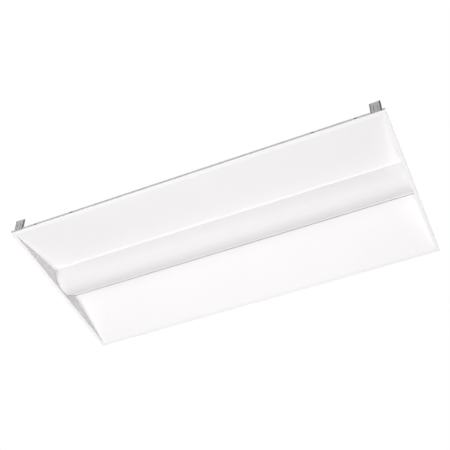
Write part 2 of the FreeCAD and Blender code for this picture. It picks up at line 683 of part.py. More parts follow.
def board_screws():
    """Pan-head screws that hold the boards up against the spine."""
    screws = []
    for x, y in board_screw_points():
        head = rod_z(BOARD_SCREW_HEAD_R, board_z - BOARD_SCREW_HEAD_H, board_z, x, y)
        shank = rod_z(BOARD_SCREW_R, board_z, top_z + BOARD_SCREW_TIP, x, y)
        screws.append(head.fuse(shank))
    return screws


# ---------------------------------------------------------------- wiring compartment
def tray_floor(w):
    """Height of the tray's floor, whose sheet lies on the back of the far wing."""
    return wing_top(w) + sheet_rise


def on_slope(x, s, n):
    """Point on the tray's floor: s down the slope from the inner wall and n off the floor."""
    w = tray_inner_w + SHEET
    return Vector(x, w + s * math.cos(slope_angle) + n * math.sin(slope_angle),
                  tray_floor(w) - s * math.sin(slope_angle) + n * math.cos(slope_angle))


def laid_on_slope(shape):
    """Shape drawn at X, S, N moved onto the tray's floor."""
    turn = FreeCAD.Rotation(Vector(1, 0, 0), -math.degrees(slope_angle))
    laid = shape.copy()
    laid.Placement = FreeCAD.Placement(on_slope(0, 0, 0), turn)
    return laid


def tray_section(inset, floor_rise, top):
    """Outline of the tray's hollow or its outside, as (w, z) points."""
    low = tray_inner_w + inset
    high = tray_outer_w - inset
    return [(low, wing_top(low) + floor_rise), (high, wing_top(high) + floor_rise), (high, top), (low, top)]


def driver_tray():
    """Folded sheet trough on the back of the far wing, beside the spine."""
    outer = prism(tray_section(0, 0, rim_z), -tray_half, tray_half)
    inner = prism(tray_section(SHEET, sheet_rise, rim_z + 1), -tray_half - 1, tray_half + 1)
    flange = box(-tray_half, tray_half, tray_outer_w - TRAY_FLANGE, tray_outer_w, rim_z - SHEET, rim_z)
    cutters = [
        rod_y(GROMMET_R, tray_inner_w - 1, tray_inner_w + SHEET + 1, grommet_x, rim_z - GROMMET_DROP),
        rod_z(COVER_SCREW_R + COVER_SCREW_FIT, rim_z - 2 * SHEET, rim_z + 1, 0, cover_screw_w()),
    ]
    for x in driver_screw_positions():
        cutters.append(laid_on_slope(rod_z(DRIVER_SCREW_R + SCREW_FIT, -2 * SHEET, 1, x, driver_mid())))
    return outer.cut(inner).fuse(flange).cut(cutters)


def tray_end():
    """Right end wall of the tray, with its knock-out hole."""
    wall = prism(tray_section(SHEET, sheet_rise, rim_z - SHEET), tray_half - SHEET, tray_half)
    return wall.cut(rod_x(KNOCKOUT_R, tray_half - SHEET - 1, tray_half + 1, knockout_w(), knockout_z()))


def knockout_w():
    """Sideways place of the conduit holes."""
    return tray_outer_w - KNOCKOUT_W_INSET


def knockout_z():
    """Height of the conduit holes."""
    return rim_z - KNOCKOUT_DROP


def knockout_disc():
    """Unused knock-out, still in place in the right wall."""
    return rod_x(KNOCKOUT_R - KNOCKOUT_DISC_GAP, tray_half - SHEET, tray_half, knockout_w(), knockout_z())


def driver_mid():
    """Middle of the driver down the slope."""
    return DRIVER_SIDE_MARGIN + DRIVER_WIDTH / 2


def driver_screw_positions():
    """X of the two driver screws."""
    return [driver_left_x - DRIVER_TAB / 2, driver_right_x + DRIVER_TAB / 2]


def led_driver():
    """Constant-current driver in a closed can with a fixing tab at each end."""
    near_s = DRIVER_SIDE_MARGIN
    can = box(driver_left_x, driver_right_x, near_s, near_s + DRIVER_WIDTH, 0, DRIVER_HEIGHT)
    long_edges = [e for e in can.Edges
                  if abs(e.tangentAt(e.FirstParameter).x) > 0.9 and e.CenterOfMass.z > DRIVER_HEIGHT / 2]
    can = can.makeFillet(DRIVER_EDGE, long_edges)
    tab_s = driver_mid() - DRIVER_TAB_WIDTH / 2
    tabs = box(driver_left_x - DRIVER_TAB, driver_right_x + DRIVER_TAB, tab_s, tab_s + DRIVER_TAB_WIDTH,
               0, DRIVER_TAB_THICKNESS)
    holes = [rod_z(DRIVER_SCREW_R + SCREW_FIT, -1, DRIVER_TAB_THICKNESS + 1, x, driver_mid())
             for x in driver_screw_positions()]
    return laid_on_slope(can.fuse(tabs).cut(holes))


def driver_screws():
    """Screws through the driver's tabs into the tray's floor."""
    screws = []
    for x in driver_screw_positions():
        head = rod_z(DRIVER_SCREW_HEAD_R, DRIVER_TAB_THICKNESS,
                     DRIVER_TAB_THICKNESS + DRIVER_SCREW_HEAD_H, x, driver_mid())
        shank = rod_z(DRIVER_SCREW_R, -SHEET, DRIVER_TAB_THICKNESS, x, driver_mid())
        screws.append(laid_on_slope(head.fuse(shank)))
    return screws


def supply_lead_places():
    """Place down the slope of the two supply leads."""
    first = DRIVER_SIDE_MARGIN + SPLICE_SIDE
    return [first, first + DRIVER_WIDTH - 2 * SPLICE_SIDE]


def splice_connectors():
    """Push-in connectors where the building's supply joins the driver's leads."""
    right = driver_left_x - SPLICE_GAP
    return [laid_on_slope(box(right - SPLICE_LENGTH, right, s - SPLICE_WIDTH / 2, s + SPLICE_WIDTH / 2,
                              0, SPLICE_HEIGHT))
            for s in supply_lead_places()]


def supply_leads():
    """Two leads from the driver's left end to the push-in connectors."""
    height = SPLICE_HEIGHT / 2
    return [laid_on_slope(rod_x(LEAD_R, driver_left_x - SPLICE_GAP, driver_left_x, s, height))
            for s in supply_lead_places()]


def ground_place():
    """X and S of the ground screw."""
    return driver_left_x - GROUND_SETBACK, DRIVER_SIDE_MARGIN + DRIVER_WIDTH + GROUND_SIDE


def ground_screw():
    """Ground screw with a ring terminal under its head."""
    x, s = ground_place()
    head = rod_z(GROUND_SCREW_HEAD_R, TERMINAL_THICKNESS, TERMINAL_THICKNESS + GROUND_SCREW_HEAD_H, x, s)
    ring = rod_z(GROUND_SCREW_HEAD_R, 0, TERMINAL_THICKNESS, x, s)
    crimp = box(x, x + TERMINAL_LENGTH, s - TERMINAL_THICKNESS / 2, s + TERMINAL_THICKNESS / 2,
                0, TERMINAL_THICKNESS)
    return laid_on_slope(head.fuse([ring, crimp]))


def bent_tube(points, radius):
    """Round lead along straight runs joined by tangent arcs, each as large as its runs allow."""
    edges = []
    start = points[0]
    for before, corner, after in zip(points, points[1:], points[2:]):
        run_in = corner.sub(before)
        run_out = after.sub(corner)
        turn = run_in.getAngle(run_out)
        bend = 0.45 * min(run_in.Length, run_out.Length) / math.tan(turn / 2)
        back = bend * math.tan(turn / 2)
        d1 = Vector(run_in).normalize()
        d2 = Vector(run_out).normalize()
        first = corner - d1 * back
        last = corner + d2 * back
        inward = (d2 - d1).normalize()
        middle = corner + inward * (bend / math.cos(turn / 2) - bend)
        print("bend radius %.1f mm" % bend)
        edges.append(Part.makeLine(start, first))
        edges.append(Part.Arc(first, middle, last).toShape())
        start = last
    edges.append(Part.makeLine(start, points[-1]))
    path = Part.Wire(edges)
    circle = Part.Wire(Part.makeCircle(radius, points[0], points[1].sub(points[0])))
    tube = path.makePipeShell([circle], True, False)
    solid = tube if tube.ShapeType == "Solid" else Part.Solid(tube)
    print("tube volume %.1f, expected %.1f" % (solid.Volume, path.Length * math.pi * radius ** 2))
    return solid


def output_leads():
    """Two leads from the driver through the grommet to the first board connector."""
    grommet_z = rim_z - GROMMET_DROP
    connector_z = board_z - CONNECTOR_HEIGHT / 2
    leads = []
    for side in (-1, 1):
        shift = side * LEAD_PITCH / 2
        start = on_slope(driver_left_x, driver_mid() + shift, OUTPUT_RISE)
        corner = on_slope(grommet_x - shift, driver_mid() + shift, OUTPUT_RISE)
        wall_y = tray_inner_w + SHEET / 2
        step_y = ROW_OFFSET + CONNECTOR_WIDTH / 2
        points = [
            start,
            corner,
            Vector(grommet_x - shift, wall_y + GROMMET_R, grommet_z),
            Vector(grommet_x - shift, (wall_y + step_y) / 2, grommet_z),
            Vector(grommet_x - shift, step_y + CONNECTOR_WIDTH, connector_z),
            Vector(grommet_x - shift, step_y, connector_z),
        ]
        leads.append(bent_tube(points, LEAD_R))
    return leads


def ground_lead():
    """Ground lead from the driver's left end to the ring terminal."""
    x, s = ground_place()
    outlet_s = DRIVER_SIDE_MARGIN + DRIVER_WIDTH - SPLICE_SIDE / 2
    height = TERMINAL_THICKNESS / 2
    run = (driver_left_x - x - TERMINAL_LENGTH) / 3
    points = [
        on_slope(driver_left_x, outlet_s, height + LEAD_R),
        on_slope(driver_left_x - run, outlet_s, height + LEAD_R),
        on_slope(x + TERMINAL_LENGTH + run, s, height),
        on_slope(x + TERMINAL_LENGTH, s, height),
    ]
    return bent_tube(points, LEAD_R)


def grommet():
    """Rubber grommet where the output leads pass from the tray into the spine."""
    z = rim_z - GROMMET_DROP
    low = cavity_w
    high = tray_inner_w + SHEET
    core = rod_y(GROMMET_R, low, high, grommet_x, z)
    inner = rod_y(GROMMET_FLANGE_R, low - GROMMET_FLANGE, low, grommet_x, z)
    outer = rod_y(GROMMET_FLANGE_R, high, high + GROMMET_FLANGE, grommet_x, z)
    bore = rod_y(GROMMET_BORE_R, low - GROMMET_FLANGE - 1, high + GROMMET_FLANGE + 1, grommet_x, z)
    return core.fuse([inner, outer]).cut(bore)


# ---------------------------------------------------------------- access cover
def knuckle_spans(moving):
    """X spans of the fixed or the moving knuckles."""
    total = KNUCKLE_COUNT * KNUCKLE_LENGTH
    spans = []
    for i in range(KNUCKLE_COUNT):
        if (i % 2 == 1) == moving:
            low = -total / 2 + i * KNUCKLE_LENGTH
            spans.append((low + KNUCKLE_GAP / 2, low + KNUCKLE_LENGTH - KNUCKLE_GAP / 2))
    return spans


def cover_bore():
    """Bore through all the knuckles."""
    reach = KNUCKLE_COUNT * KNUCKLE_LENGTH / 2 + 1
    return rod_x(COVER_PIN_R + HINGE_FIT, -reach, reach, cover_hinge_w, cover_hinge_z)


def hinge_leaf():
    """Fixed leaf on the inside of the tray's inner wall, with the fixed knuckles."""
    reach = KNUCKLE_COUNT * KNUCKLE_LENGTH / 2
    low_w = tray_inner_w + SHEET
    leaf = box(-reach, reach, low_w, low_w + SHEET, rim_z - LEAF_HEIGHT, rim_z - COVER_GAP)
    pieces = []
    for x0, x1 in knuckle_spans(moving=False):
        pieces.append(box(x0, x1, low_w, low_w + SHEET, rim_z - LEAF_HEIGHT, cover_hinge_z))
        pieces.append(rod_x(KNUCKLE_R, x0, x1, cover_hinge_w, cover_hinge_z))
    return leaf.fuse(pieces).cut(cover_bore())


def cover_screw_w():
    """Sideways place of the cover's screw: the middle of the tray's flange."""
    return tray_outer_w - TRAY_FLANGE / 2


def access_cover():
    """Cover of the wiring compartment, with a lip on three sides and the moving knuckles."""
    inner_w = cover_hinge_w + KNUCKLE_R + KNUCKLE_GAP
    lip_w = tray_outer_w + COVER_GAP
    outer_w = lip_w + SHEET
    lip_x = tray_half + COVER_GAP
    outer_x = lip_x + SHEET
    plate_top = cover_z + SHEET
    plate = box(-outer_x, outer_x, inner_w, outer_w, cover_z, plate_top)
    pieces = [box(-outer_x, outer_x, lip_w, outer_w, cover_z - COVER_LIP, plate_top)]
    for side in (-1, 1):
        low, high = sorted((side * lip_x, side * outer_x))
        pieces.append(box(low, high, inner_w, outer_w, cover_z - COVER_LIP, plate_top))
    for x0, x1 in knuckle_spans(moving=True):
        pieces.append(box(x0, x1, cover_hinge_w, inner_w + SHEET, cover_z, plate_top))
        pieces.append(rod_x(KNUCKLE_R, x0, x1, cover_hinge_w, cover_hinge_z))
    hole = rod_z(COVER_SCREW_R + SCREW_FIT, cover_z - 1, plate_top + 1, 0, cover_screw_w())
    return plate.fuse(pieces).cut([cover_bore(), hole])


def cover_hinge_pin():
    """Pin through the knuckles."""
    reach = KNUCKLE_COUNT * KNUCKLE_LENGTH / 2
    return rod_x(COVER_PIN_R, -reach, reach, cover_hinge_w, cover_hinge_z)


def cover_screw():
    """Knurled captive screw that closes the cover."""
    low = cover_z + SHEET
    head = rod_z(COVER_SCREW_HEAD_R, low, low + COVER_SCREW_HEAD_H, 0, cover_screw_w())
    shank = rod_z(COVER_SCREW_R, low - COVER_SCREW_REACH, low, 0, cover_screw_w())
    grooves = []
    for i in range(COVER_SCREW_KNURLS):
        angle = 2 * math.pi * i / COVER_SCREW_KNURLS
        grooves.append(rod_z(COVER_SCREW_HEAD_R / COVER_SCREW_KNURLS, low - 1, low + COVER_SCREW_HEAD_H + 1,
                             COVER_SCREW_HEAD_R * math.cos(angle),
                             cover_screw_w() + COVER_SCREW_HEAD_R * math.sin(angle)))
    return head.cut(grooves).fuse(shank)


def build():
    """Make and write every sub-part."""
    os.makedirs("parts", exist_ok=True)
    save("wing_near", near_side(wing(NEAR_DOOR_GAP)))
    save("wing_far", wing(FAR_DOOR_GAP))
    save("end_plate_right", end_plate())
    save("end_plate_left", left_end(end_plate()))
    save("wing_brackets_right", wing_brackets())
    save("wing_brackets_left", [left_end(bracket) for bracket in wing_brackets()])
    save("spine_channel", spine_channel())
    save("housing_screws", housing_screws())
    save("lens", lens())
    save("door_rail_far", door_rail())
    save("door_rail_near", near_side(door_rail()))
    save("door_end_right", door_end())
    save("door_end_left", left_end(door_end()))
    save("door_hinge_pins", [hinge_pin(), left_end(hinge_pin())])
    save("door_catches", door_catches())
    save("catch_rivets", catch_rivets())
    corner_names = ("near_left", "near_right", "far_left", "far_right")
    for name, clip, tongue in zip(corner_names, four_corners(grid_clip()), four_corners(clip_tongue())):
        save("grid_clip_" + name, clip)
        save("clip_tongue_" + name, tongue)
    for side_x, end in ((-1, "left"), (1, "right")):
        for side_y, row in ((-1, "near"), (1, "far")):
            save("led_board_" + row + "_" + end, led_board(side_x, side_y))
    save("led_chips", led_chips())
    save("board_connectors", board_connectors() + driver_connectors())
    save("board_jumpers", board_jumpers())
    save("board_screws", board_screws())
    save("driver_tray", driver_tray())
    save("tray_end_right", tray_end())
    save("tray_end_left", left_end(tray_end()))
    save("knockout_disc", knockout_disc())
    save("led_driver", led_driver())
    save("driver_screws", driver_screws())
    save("splice_connectors", splice_connectors())
    save("supply_leads", supply_leads())
    save("ground_screw", ground_screw())
    save("ground_lead", ground_lead())
    save("output_leads", output_leads())
    save("grommet", grommet())
    save("hinge_leaf", hinge_leaf())
    save("access_cover", access_cover())
    save("cover_hinge_pin", cover_hinge_pin())
    save("cover_screw", cover_screw())


build()
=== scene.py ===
"""Looks of the recessed troffer light: finishes, small hardware, studio and camera.

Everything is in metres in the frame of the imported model: +X along the light, +Y across it, +Z up,
z = 0 at the underside of the ceiling flange. "Near" is the -Y side.
"""
import json
import math

import bmesh
import bpy
from mathutils import Matrix, Vector


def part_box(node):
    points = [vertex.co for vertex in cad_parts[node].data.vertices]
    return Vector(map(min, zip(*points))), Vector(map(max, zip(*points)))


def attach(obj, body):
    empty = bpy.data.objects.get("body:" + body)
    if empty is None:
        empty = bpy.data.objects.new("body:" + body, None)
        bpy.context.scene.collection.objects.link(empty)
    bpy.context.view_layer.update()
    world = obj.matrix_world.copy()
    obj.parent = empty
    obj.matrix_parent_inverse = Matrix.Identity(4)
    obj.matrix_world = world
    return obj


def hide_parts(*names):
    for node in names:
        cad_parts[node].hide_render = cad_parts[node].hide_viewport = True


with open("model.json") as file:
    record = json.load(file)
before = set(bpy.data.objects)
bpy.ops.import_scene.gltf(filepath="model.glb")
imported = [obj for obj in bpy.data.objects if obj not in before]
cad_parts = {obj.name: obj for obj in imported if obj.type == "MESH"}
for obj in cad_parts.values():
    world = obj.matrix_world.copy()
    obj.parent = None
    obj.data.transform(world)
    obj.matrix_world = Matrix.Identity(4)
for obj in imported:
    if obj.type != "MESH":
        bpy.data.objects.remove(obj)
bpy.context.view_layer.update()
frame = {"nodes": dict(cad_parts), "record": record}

# ---------------------------------------------------------------- camera and light, from the photograph
FRAME_PIXELS = 450
FOCAL_PIXELS = 931.5                      # focal length in pixels of the 450 x 450 frame
SENSOR_MM = 36.0
CAMERA_PLACE = Vector((0.8178, -1.8929, -2.0931))
CAMERA_YAW = math.radians(23.55)          # turned from +Y towards -X
CAMERA_PITCH = math.radians(46.48)        # looking up from below
CAMERA_ROLL = math.radians(0.307)
CAMERA_REACH = 50.0                       # far end of what the camera sees
FLOOR_Z = -3.4
FLOOR_HALF = 12.0
WORLD_LEVEL = 0.1
SOFT_BOXES = (                            # name, place, size and power in watts
    ("key", (-1.0, -3.2, -1.6), 1.6, 45.5),
    ("below", (0.0, 0.0, -3.3), 4.0, 124.0),
    ("above", (1.0, 0.8, 1.8), 1.5, 30.0),
)
FLOOR_GLOW = 0.72                         # brings the seen floor up to white and keeps its shadows

# ---------------------------------------------------------------- finishes
PAINT_ROUGHNESS = 0.38
ZINC_ROUGHNESS = 0.42
ZINC_METALLIC = 0.75
CLIP_LOOK = {"roughness": 0.5, "metallic": 0.08}
LENS_ROUGHNESS = (0.42, 0.56)
PLASTIC_SPECKLE = 0.06
FLAP_SHADE_TONES = (0.05, 0.09)                 # painted shade on the undersides of the flaps of a wing's lip
FLOOR_TONES = (0.80, 0.82)
SHARP_ANGLE = math.radians(32)            # edges of a piece sharper than this stay sharp

# ---------------------------------------------------------------- where a wing's white paint ends
PAINT_TOP = 0.0009                        # its lip is bare above the flange
LIP_START = 0.2895                        # distance from the middle at which the lip begins
BACK_SLANT = 0.3                          # faces whose normal rises more than this are the back
FLAP_SLANT = -0.5                         # faces of the lip that look down more than this get painted shade

# ---------------------------------------------------------------- sizes of the housing, as in the CAD source
WING_EDGE = 0.072                         # middle of the light to the wing's inner edge
WING_RISE = 0.044                         # height of that edge
WING_FOOT = 0.288                         # middle of the light to the foot of the slope
WING_SLOPE = WING_RISE / (WING_FOOT - WING_EDGE)
SHEET = 0.0008
SHEET_RISE = SHEET * math.hypot(1, WING_SLOPE)    # a sheet's thickness measured upwards on the slope

# ---------------------------------------------------------------- clinch buttons and ribs of the back
FOOT_BUTTON_Y = 0.0915                    # buttons on the spine's feet
FOOT_BUTTONS = 5                          # how many of them there are each side of the middle one
FOOT_BUTTON_PITCH = 0.112
BRACKET_BUTTON_X = 0.5905                 # buttons on the end brackets' feet
BRACKET_BUTTONS_Y = (0.135, 0.195, 0.255)
TRAY_MARGIN = 0.01                        # no buttons nearer the tray's ends than this
BEAD_PLACE = 0.066                        # ribs on the spine: place, size and ends
BEAD_HALF = 0.004
BEAD_HEIGHT = 0.0012
BEAD_END = 0.045
BEAD_FADE = 0.008
BEAD_FADE_STEPS = 6
BEAD_END_RISE = 0.02                      # height and width of a rib's tip, as shares of the full ones
BEAD_END_WIDTH = 0.4
BEAD_ARC_STEPS = 8

# ---------------------------------------------------------------- screws, connectors and driver
PAN_HEAD = ((1.0, 0.0), (1.0, 0.4), (0.96, 0.68), (0.86, 0.9), (0.72, 1.0))  # shares of radius, height
CROSS_REACH = 0.55                        # recess in a head, as shares of its radius and height
SLOT_REACH = 0.68
RECESS_HALF = 0.12
RECESS_DEPTH = 0.6
RECESS_TAPER = 0.75
THREAD_PITCH = 0.0007
THREAD_ROOT = 0.8                         # thread's root as a share of its radius
RIVET_HEAD = ((0.5, 0.0), (0.86, 0.0004), (1.0, 0.001), (0.52, 0.001))     # share of radius, depth from end
KNURL_HEIGHT = 0.005
KNURL_DEPTH = 0.0005
KNURL_CHAMFER = 0.0006
COVER_SLOT_HALF = 0.0007
COVER_SLOT_DEPTH = 0.0018
COVER_SHANK = 0.002
CHIP_RINGS = ((1.0, 1.0, 0.0), (1.0, 1.0, 1.0), (0.78, 0.82, 1.0), (0.72, 0.77, 0.8))  # shares of its size
CHIP_FOOT = 0.0008                        # soldered foot: length, middle beyond the chip, thickness
CHIP_FOOT_OUT = 0.0003
CHIP_SOLDER = 0.0002
LEAD_SPACING = 0.0026
INNER_CONNECTOR_X = 0.03                  # connectors nearer the middle than this join two boards
FUNNEL = ((0.0009, 0.0), (0.00125, 0.0), (0.00125, 0.0006), (0.0011, 0.0007), (0.0009, 0.0006))
FUNNEL_INSET = 0.0002
RELEASE_TAB = (0.0014, 0.0014, 0.0008)
RELEASE_BACK = 0.0012                     # release tab behind the connector's middle
SPLICE_CAP = 0.35                         # white cap's share of a splice connector's length
SPLICE_CAP_FIT = 0.96                     # that cap's thickness as a share of the body's
SPLICE_MOUTH_PLACE = 0.25                 # share of its height, up and down from the middle
SPLICE_MOUTH = ((0.0008, 0.0), (0.0013, 0.0), (0.0013, 0.0004), (0.0008, 0.0004))
DRIVER_TAB = 0.012
LID_SEAM = (0.0006, 0.0012)               # lid's side seam: width and height
LID_SEAM_SHORT = 0.004                    # how much shorter than the case the seam is
LID_SEAM_RISE = 0.12                      # share of the case's height above its middle
LID_FRAME = 0.0008                        # thickness of the lid's end frames
LID_FRAME_SHORT = (0.005, 0.006)          # how much narrower and lower than the case they are
LID_FRAME_DROP = 0.0005
LID_RIB = (0.0016, 0.0008)                # ribs on the lid: width and height
LID_RIB_SHORT = 0.03
LID_RIB_PLACE = 0.006
LID_RIVET = ((0.0018, 0.0), (0.0017, 0.0003), (0.001, 0.0006))
LID_RIVET_PLACES = (-0.36, -0.12, 0.12, 0.36)     # shares of the case's length
LID_RIVET_RISE = 0.28
CLINCH_BUTTON = ((0.0030, -0.0002), (0.0029, 0.0003), (0.0024, 0.0005), (0.0019, 0.0003), (0.0012, 0.0001))
PRY_SLOT_HALF = 0.0009                    # slot in the knock-out disc

# ---------------------------------------------------------------- grid clip at the far right corner
CLIP_INNER = 0.564                        # X of the inner edge of leaf and foot
CLIP_SHEET_INNER = 0.5685                 # X of the front sheet's inner edge
CLIP_MIDDLE = 0.5815                      # X of the tongue's middle
CLIP_OUTER = 0.597                        # X of the outer flange's face
CLIP_FACE = 0.3015                        # Y of the front sheet's face
CLIP_DEPTH = 0.011                        # outer flange, back from that face
CLIP_FOOT = 0.0098                        # foot, back from the front sheet
CLIP_LEAF_GAP = 0.0016                    # front sheet to the leaf behind it
CLIP_LOW = 0.0008                         # heights of its foot and top
CLIP_TOP = 0.050
CLIP_SHEET_TOP = 0.0482                   # top of the front sheet, which ends below the flange's
CLIP_OUTER_BEND = 0.0035                  # radius of the bend between front sheet and flange
CLIP_CORNER = 0.0012                      # cut at the front sheet's inner top corner
CLIP_SHOULDER = 0.006                     # cut at the flange's top corner, and its step to the sheet
CLIP_ROUND = 0.0002                       # rounded edges of leaf and foot
BEND_STEPS = 6
NUDGE = 1e-5                              # step along the sheet that gives its direction
WINDOW_HALF = 0.0064                      # window round the tongue: half width and heights
WINDOW_LOW = 0.0063
WINDOW_TOP = 0.0334
WINDOW_ARC_STEPS = 12
HANGER_R = 0.00325
HANGER_Z = 0.041
HANGER_INSET = 0.006                      # hanger hole back from the clip's face


# ---------------------------------------------------------------- material helpers
class Shader:
    """A small wrapper that adds and links shader nodes."""

    def __init__(self, name):
        self.material = bpy.data.materials.new(name)
        self.material.use_nodes = True
        self.tree = self.material.node_tree
        self.tree.nodes.clear()
        self.surface = self.add("ShaderNodeBsdfPrincipled")
        self.output = self.add("ShaderNodeOutputMaterial")
        self.tree.links.new(self.surface.outputs["BSDF"], self.output.inputs["Surface"])
        coordinates = self.add("ShaderNodeTexCoord")
        self.place = coordinates.outputs["Object"]
        self.object_normal = coordinates.outputs["Normal"]

    def add(self, kind, **settings):
        """New node of a kind."""
        node = self.tree.nodes.new(kind)
        for key, value in settings.items():
            setattr(node, key, value)
        return node

    def link(self, source, target):
        """Lead one socket to another."""
        self.tree.links.new(source, target)

    def set(self, **values):
        """Plain values on the principled shader; spaces in a socket's name are written as _."""
        for key, value in values.items():
            self.surface.inputs[key.replace("_", " ")].default_value = value

    def math(self, operation, *inputs):
        """Result of a math node on sockets or numbers."""
        node = self.add("ShaderNodeMath", operation=operation)
        for socket, value in zip(node.inputs, inputs):
            if isinstance(value, (int, float)):
                socket.default_value = value
            else:
                self.link(value, socket)
        return node.outputs[0]

    def split(self, vector):
        """The X, Y and Z sockets of a vector."""
        node = self.add("ShaderNodeSeparateXYZ")
        self.link(vector, node.inputs[0])
        return node.outputs

    def mixed(self, factor, first, second):
        """First colour where the factor is 0, second where it is 1."""
        node = self.add("ShaderNodeMix", data_type="RGBA")
        self.link(factor, node.inputs["Factor"])
        colours = [socket for socket in node.inputs if socket.type == "RGBA"]
        self.link(first, colours[0])
        self.link(second, colours[1])
        return next(socket for socket in node.outputs if socket.type == "RGBA")

    def mixed_value(self, factor, first, second):
        """First value where the factor is 0, second where it is 1."""
        node = self.add("ShaderNodeMix")      # its second input is the factor for vectors
        for socket, value in zip(node.inputs, (factor, None, first, second)):
            if value is not None:
                self.link(value, socket)
        return node.outputs[0]

    def stretched(self, scale):
        """Object coordinates scaled differently along each axis."""
        mapping = self.add("ShaderNodeMapping")
        mapping.inputs["Scale"].default_value = scale
        self.link(self.place, mapping.inputs["Vector"])
        return mapping.outputs["Vector"]

    def noise(self, scale, detail=3.0, vector=None):
        """Noise in object coordinates, or on another vector."""
        node = self.add("ShaderNodeTexNoise")
        node.inputs["Scale"].default_value = scale
        node.inputs["Detail"].default_value = detail
        self.link(vector or self.place, node.inputs["Vector"])
        return node.outputs["Fac"]

    def ranged(self, source, low, high, source_low=0.3, source_high=0.7):
        """Source remapped to the span low..high."""
        node = self.add("ShaderNodeMapRange")
        for key, value in (("From Min", source_low), ("From Max", source_high),
                           ("To Min", low), ("To Max", high)):
            node.inputs[key].default_value = value
        self.link(source, node.inputs["Value"])
        return node.outputs["Result"]

    def ramp(self, source, first, second):
        """Colour that runs from the first at 0 to the second at 1."""
        node = self.add("ShaderNodeValToRGB")
        for element, colour in zip(node.color_ramp.elements, (first, second)):
            element.color = (*colour, 1.0)
        self.link(source, node.inputs["Fac"])
        return node.outputs["Color"]

    def bump(self, height, strength, distance):
        """Fine relief on the principled shader."""
        node = self.add("ShaderNodeBump")
        node.inputs["Strength"].default_value = strength
        node.inputs["Distance"].default_value = distance
        self.link(height, node.inputs["Height"])
        self.link(node.outputs["Normal"], self.surface.inputs["Normal"])


def grey(value, warm=0.0):
    """A neutral linear colour, slightly warm or cool."""
    return value * (1 + warm), value, value * (1 - warm)


def off_white(value):
    """White or grey with the faint lavender cast that the photograph has."""
    return value, value * 0.983, value * 0.996


def powder_coat(shader, value, roughness):
    """Colour and roughness of a white powder coat, with faint drifts of tone."""
    drift = shader.noise(3.5, detail=2.0)
    colour = shader.ramp(shader.ranged(drift, 0.0, 1.0), off_white(value * 0.985), off_white(value))
    speckle = shader.noise(260.0, detail=2.0)
    return colour, shader.ranged(speckle, roughness - 0.05, roughness + 0.07)


def orange_peel(shader):
    """The fine unevenness of sprayed paint."""
    shader.bump(shader.noise(420.0, detail=2.0), 0.10, 0.0004)


def enamel(name, value, roughness=PAINT_ROUGHNESS):
    """White powder coat."""
    shader = Shader(name)
    colour, rough = powder_coat(shader, value, roughness)
    shader.link(colour, shader.surface.inputs["Base Color"])
    shader.link(rough, shader.surface.inputs["Roughness"])
    orange_peel(shader)
    return shader.material


def spangle(shader, dark, light, roughness):
    """Colour, roughness and grain of a zinc coating: crystals under faint rolling marks."""
    crystals = shader.add("ShaderNodeTexVoronoi", feature="F1")
    crystals.inputs["Scale"].default_value = 95.0
    shader.link(shader.place, crystals.inputs["Vector"])
    grain = shader.noise(70.0, detail=4.0, vector=shader.stretched((0.08, 1.0, 1.0)))
    split = shader.add("ShaderNodeSeparateColor")
    shader.link(crystals.outputs["Color"], split.inputs["Color"])
    tone = shader.math("MULTIPLY_ADD", split.outputs["Red"], 0.6, shader.ranged(grain, 0.0, 0.4))
    colour = shader.ramp(tone, off_white(dark), off_white(light))
    rough = shader.ranged(split.outputs["Green"], roughness - 0.08, roughness + 0.12, 0.0, 1.0)
    return colour, rough, grain


def galvanised(name, dark, light, roughness=ZINC_ROUGHNESS, metallic=ZINC_METALLIC):
    """Zinc-coated sheet."""
    shader = Shader(name)
    colour, rough, grain = spangle(shader, dark, light, roughness)
    shader.link(colour, shader.surface.inputs["Base Color"])
    shader.link(rough, shader.surface.inputs["Roughness"])
    shader.set(Metallic=metallic)
    shader.bump(grain, 0.12, 0.0003)
    return shader.material


def sprayed(name, value, dark, light):
    """Wing sprayed white from the room side: its back and its upstanding lip stay zinc.

    Faces of the lip that look down, such as the undersides of its flaps, are darkened with painted shade.
    """
    shader = Shader(name)
    normal = shader.split(shader.object_normal)
    place = shader.split(shader.place)
    above = shader.math("GREATER_THAN", place["Z"], PAINT_TOP)
    outside = shader.math("GREATER_THAN", shader.math("ABSOLUTE", place["Y"]), LIP_START)
    lip = shader.math("MULTIPLY", above, outside)
    bare = shader.math("MAXIMUM", lip, shader.math("GREATER_THAN", normal["Z"], BACK_SLANT))
    paint, paint_rough = powder_coat(shader, value, PAINT_ROUGHNESS)
    zinc, zinc_rough, grain = spangle(shader, dark, light, ZINC_ROUGHNESS)
    # painted shade: near-black zinc on the lip's down-facing faces, such as the undersides of its flaps
    flap_shade = shader.ramp(shader.ranged(grain, 0.0, 1.0), *map(grey, FLAP_SHADE_TONES))
    flap_shade_mask = shader.math("MULTIPLY", lip, shader.math("LESS_THAN", normal["Z"], FLAP_SLANT))
    metal = shader.mixed(flap_shade_mask, zinc, flap_shade)
    shader.link(shader.mixed(bare, paint, metal), shader.surface.inputs["Base Color"])
    shader.link(shader.mixed_value(bare, paint_rough, zinc_rough), shader.surface.inputs["Roughness"])
    shader.link(shader.math("MULTIPLY", bare, ZINC_METALLIC), shader.surface.inputs["Metallic"])
    orange_peel(shader)
    return shader.material


def steel(name, value, roughness=0.3):
    """Zinc-plated or bright steel with fine drawn marks."""
    shader = Shader(name)
    marks = shader.noise(900.0, detail=3.0, vector=shader.stretched((1.0, 1.0, 0.15)))
    colour = shader.ramp(shader.ranged(marks, 0.0, 1.0), grey(value * 0.88, 0.01), grey(value, 0.01))
    shader.link(colour, shader.surface.inputs["Base Color"])
    shader.link(shader.ranged(marks, roughness - 0.06, roughness + 0.1), shader.surface.inputs["Roughness"])
    shader.set(Metallic=1.0)
    shader.bump(marks, 0.08, 0.0001)
    return shader.material


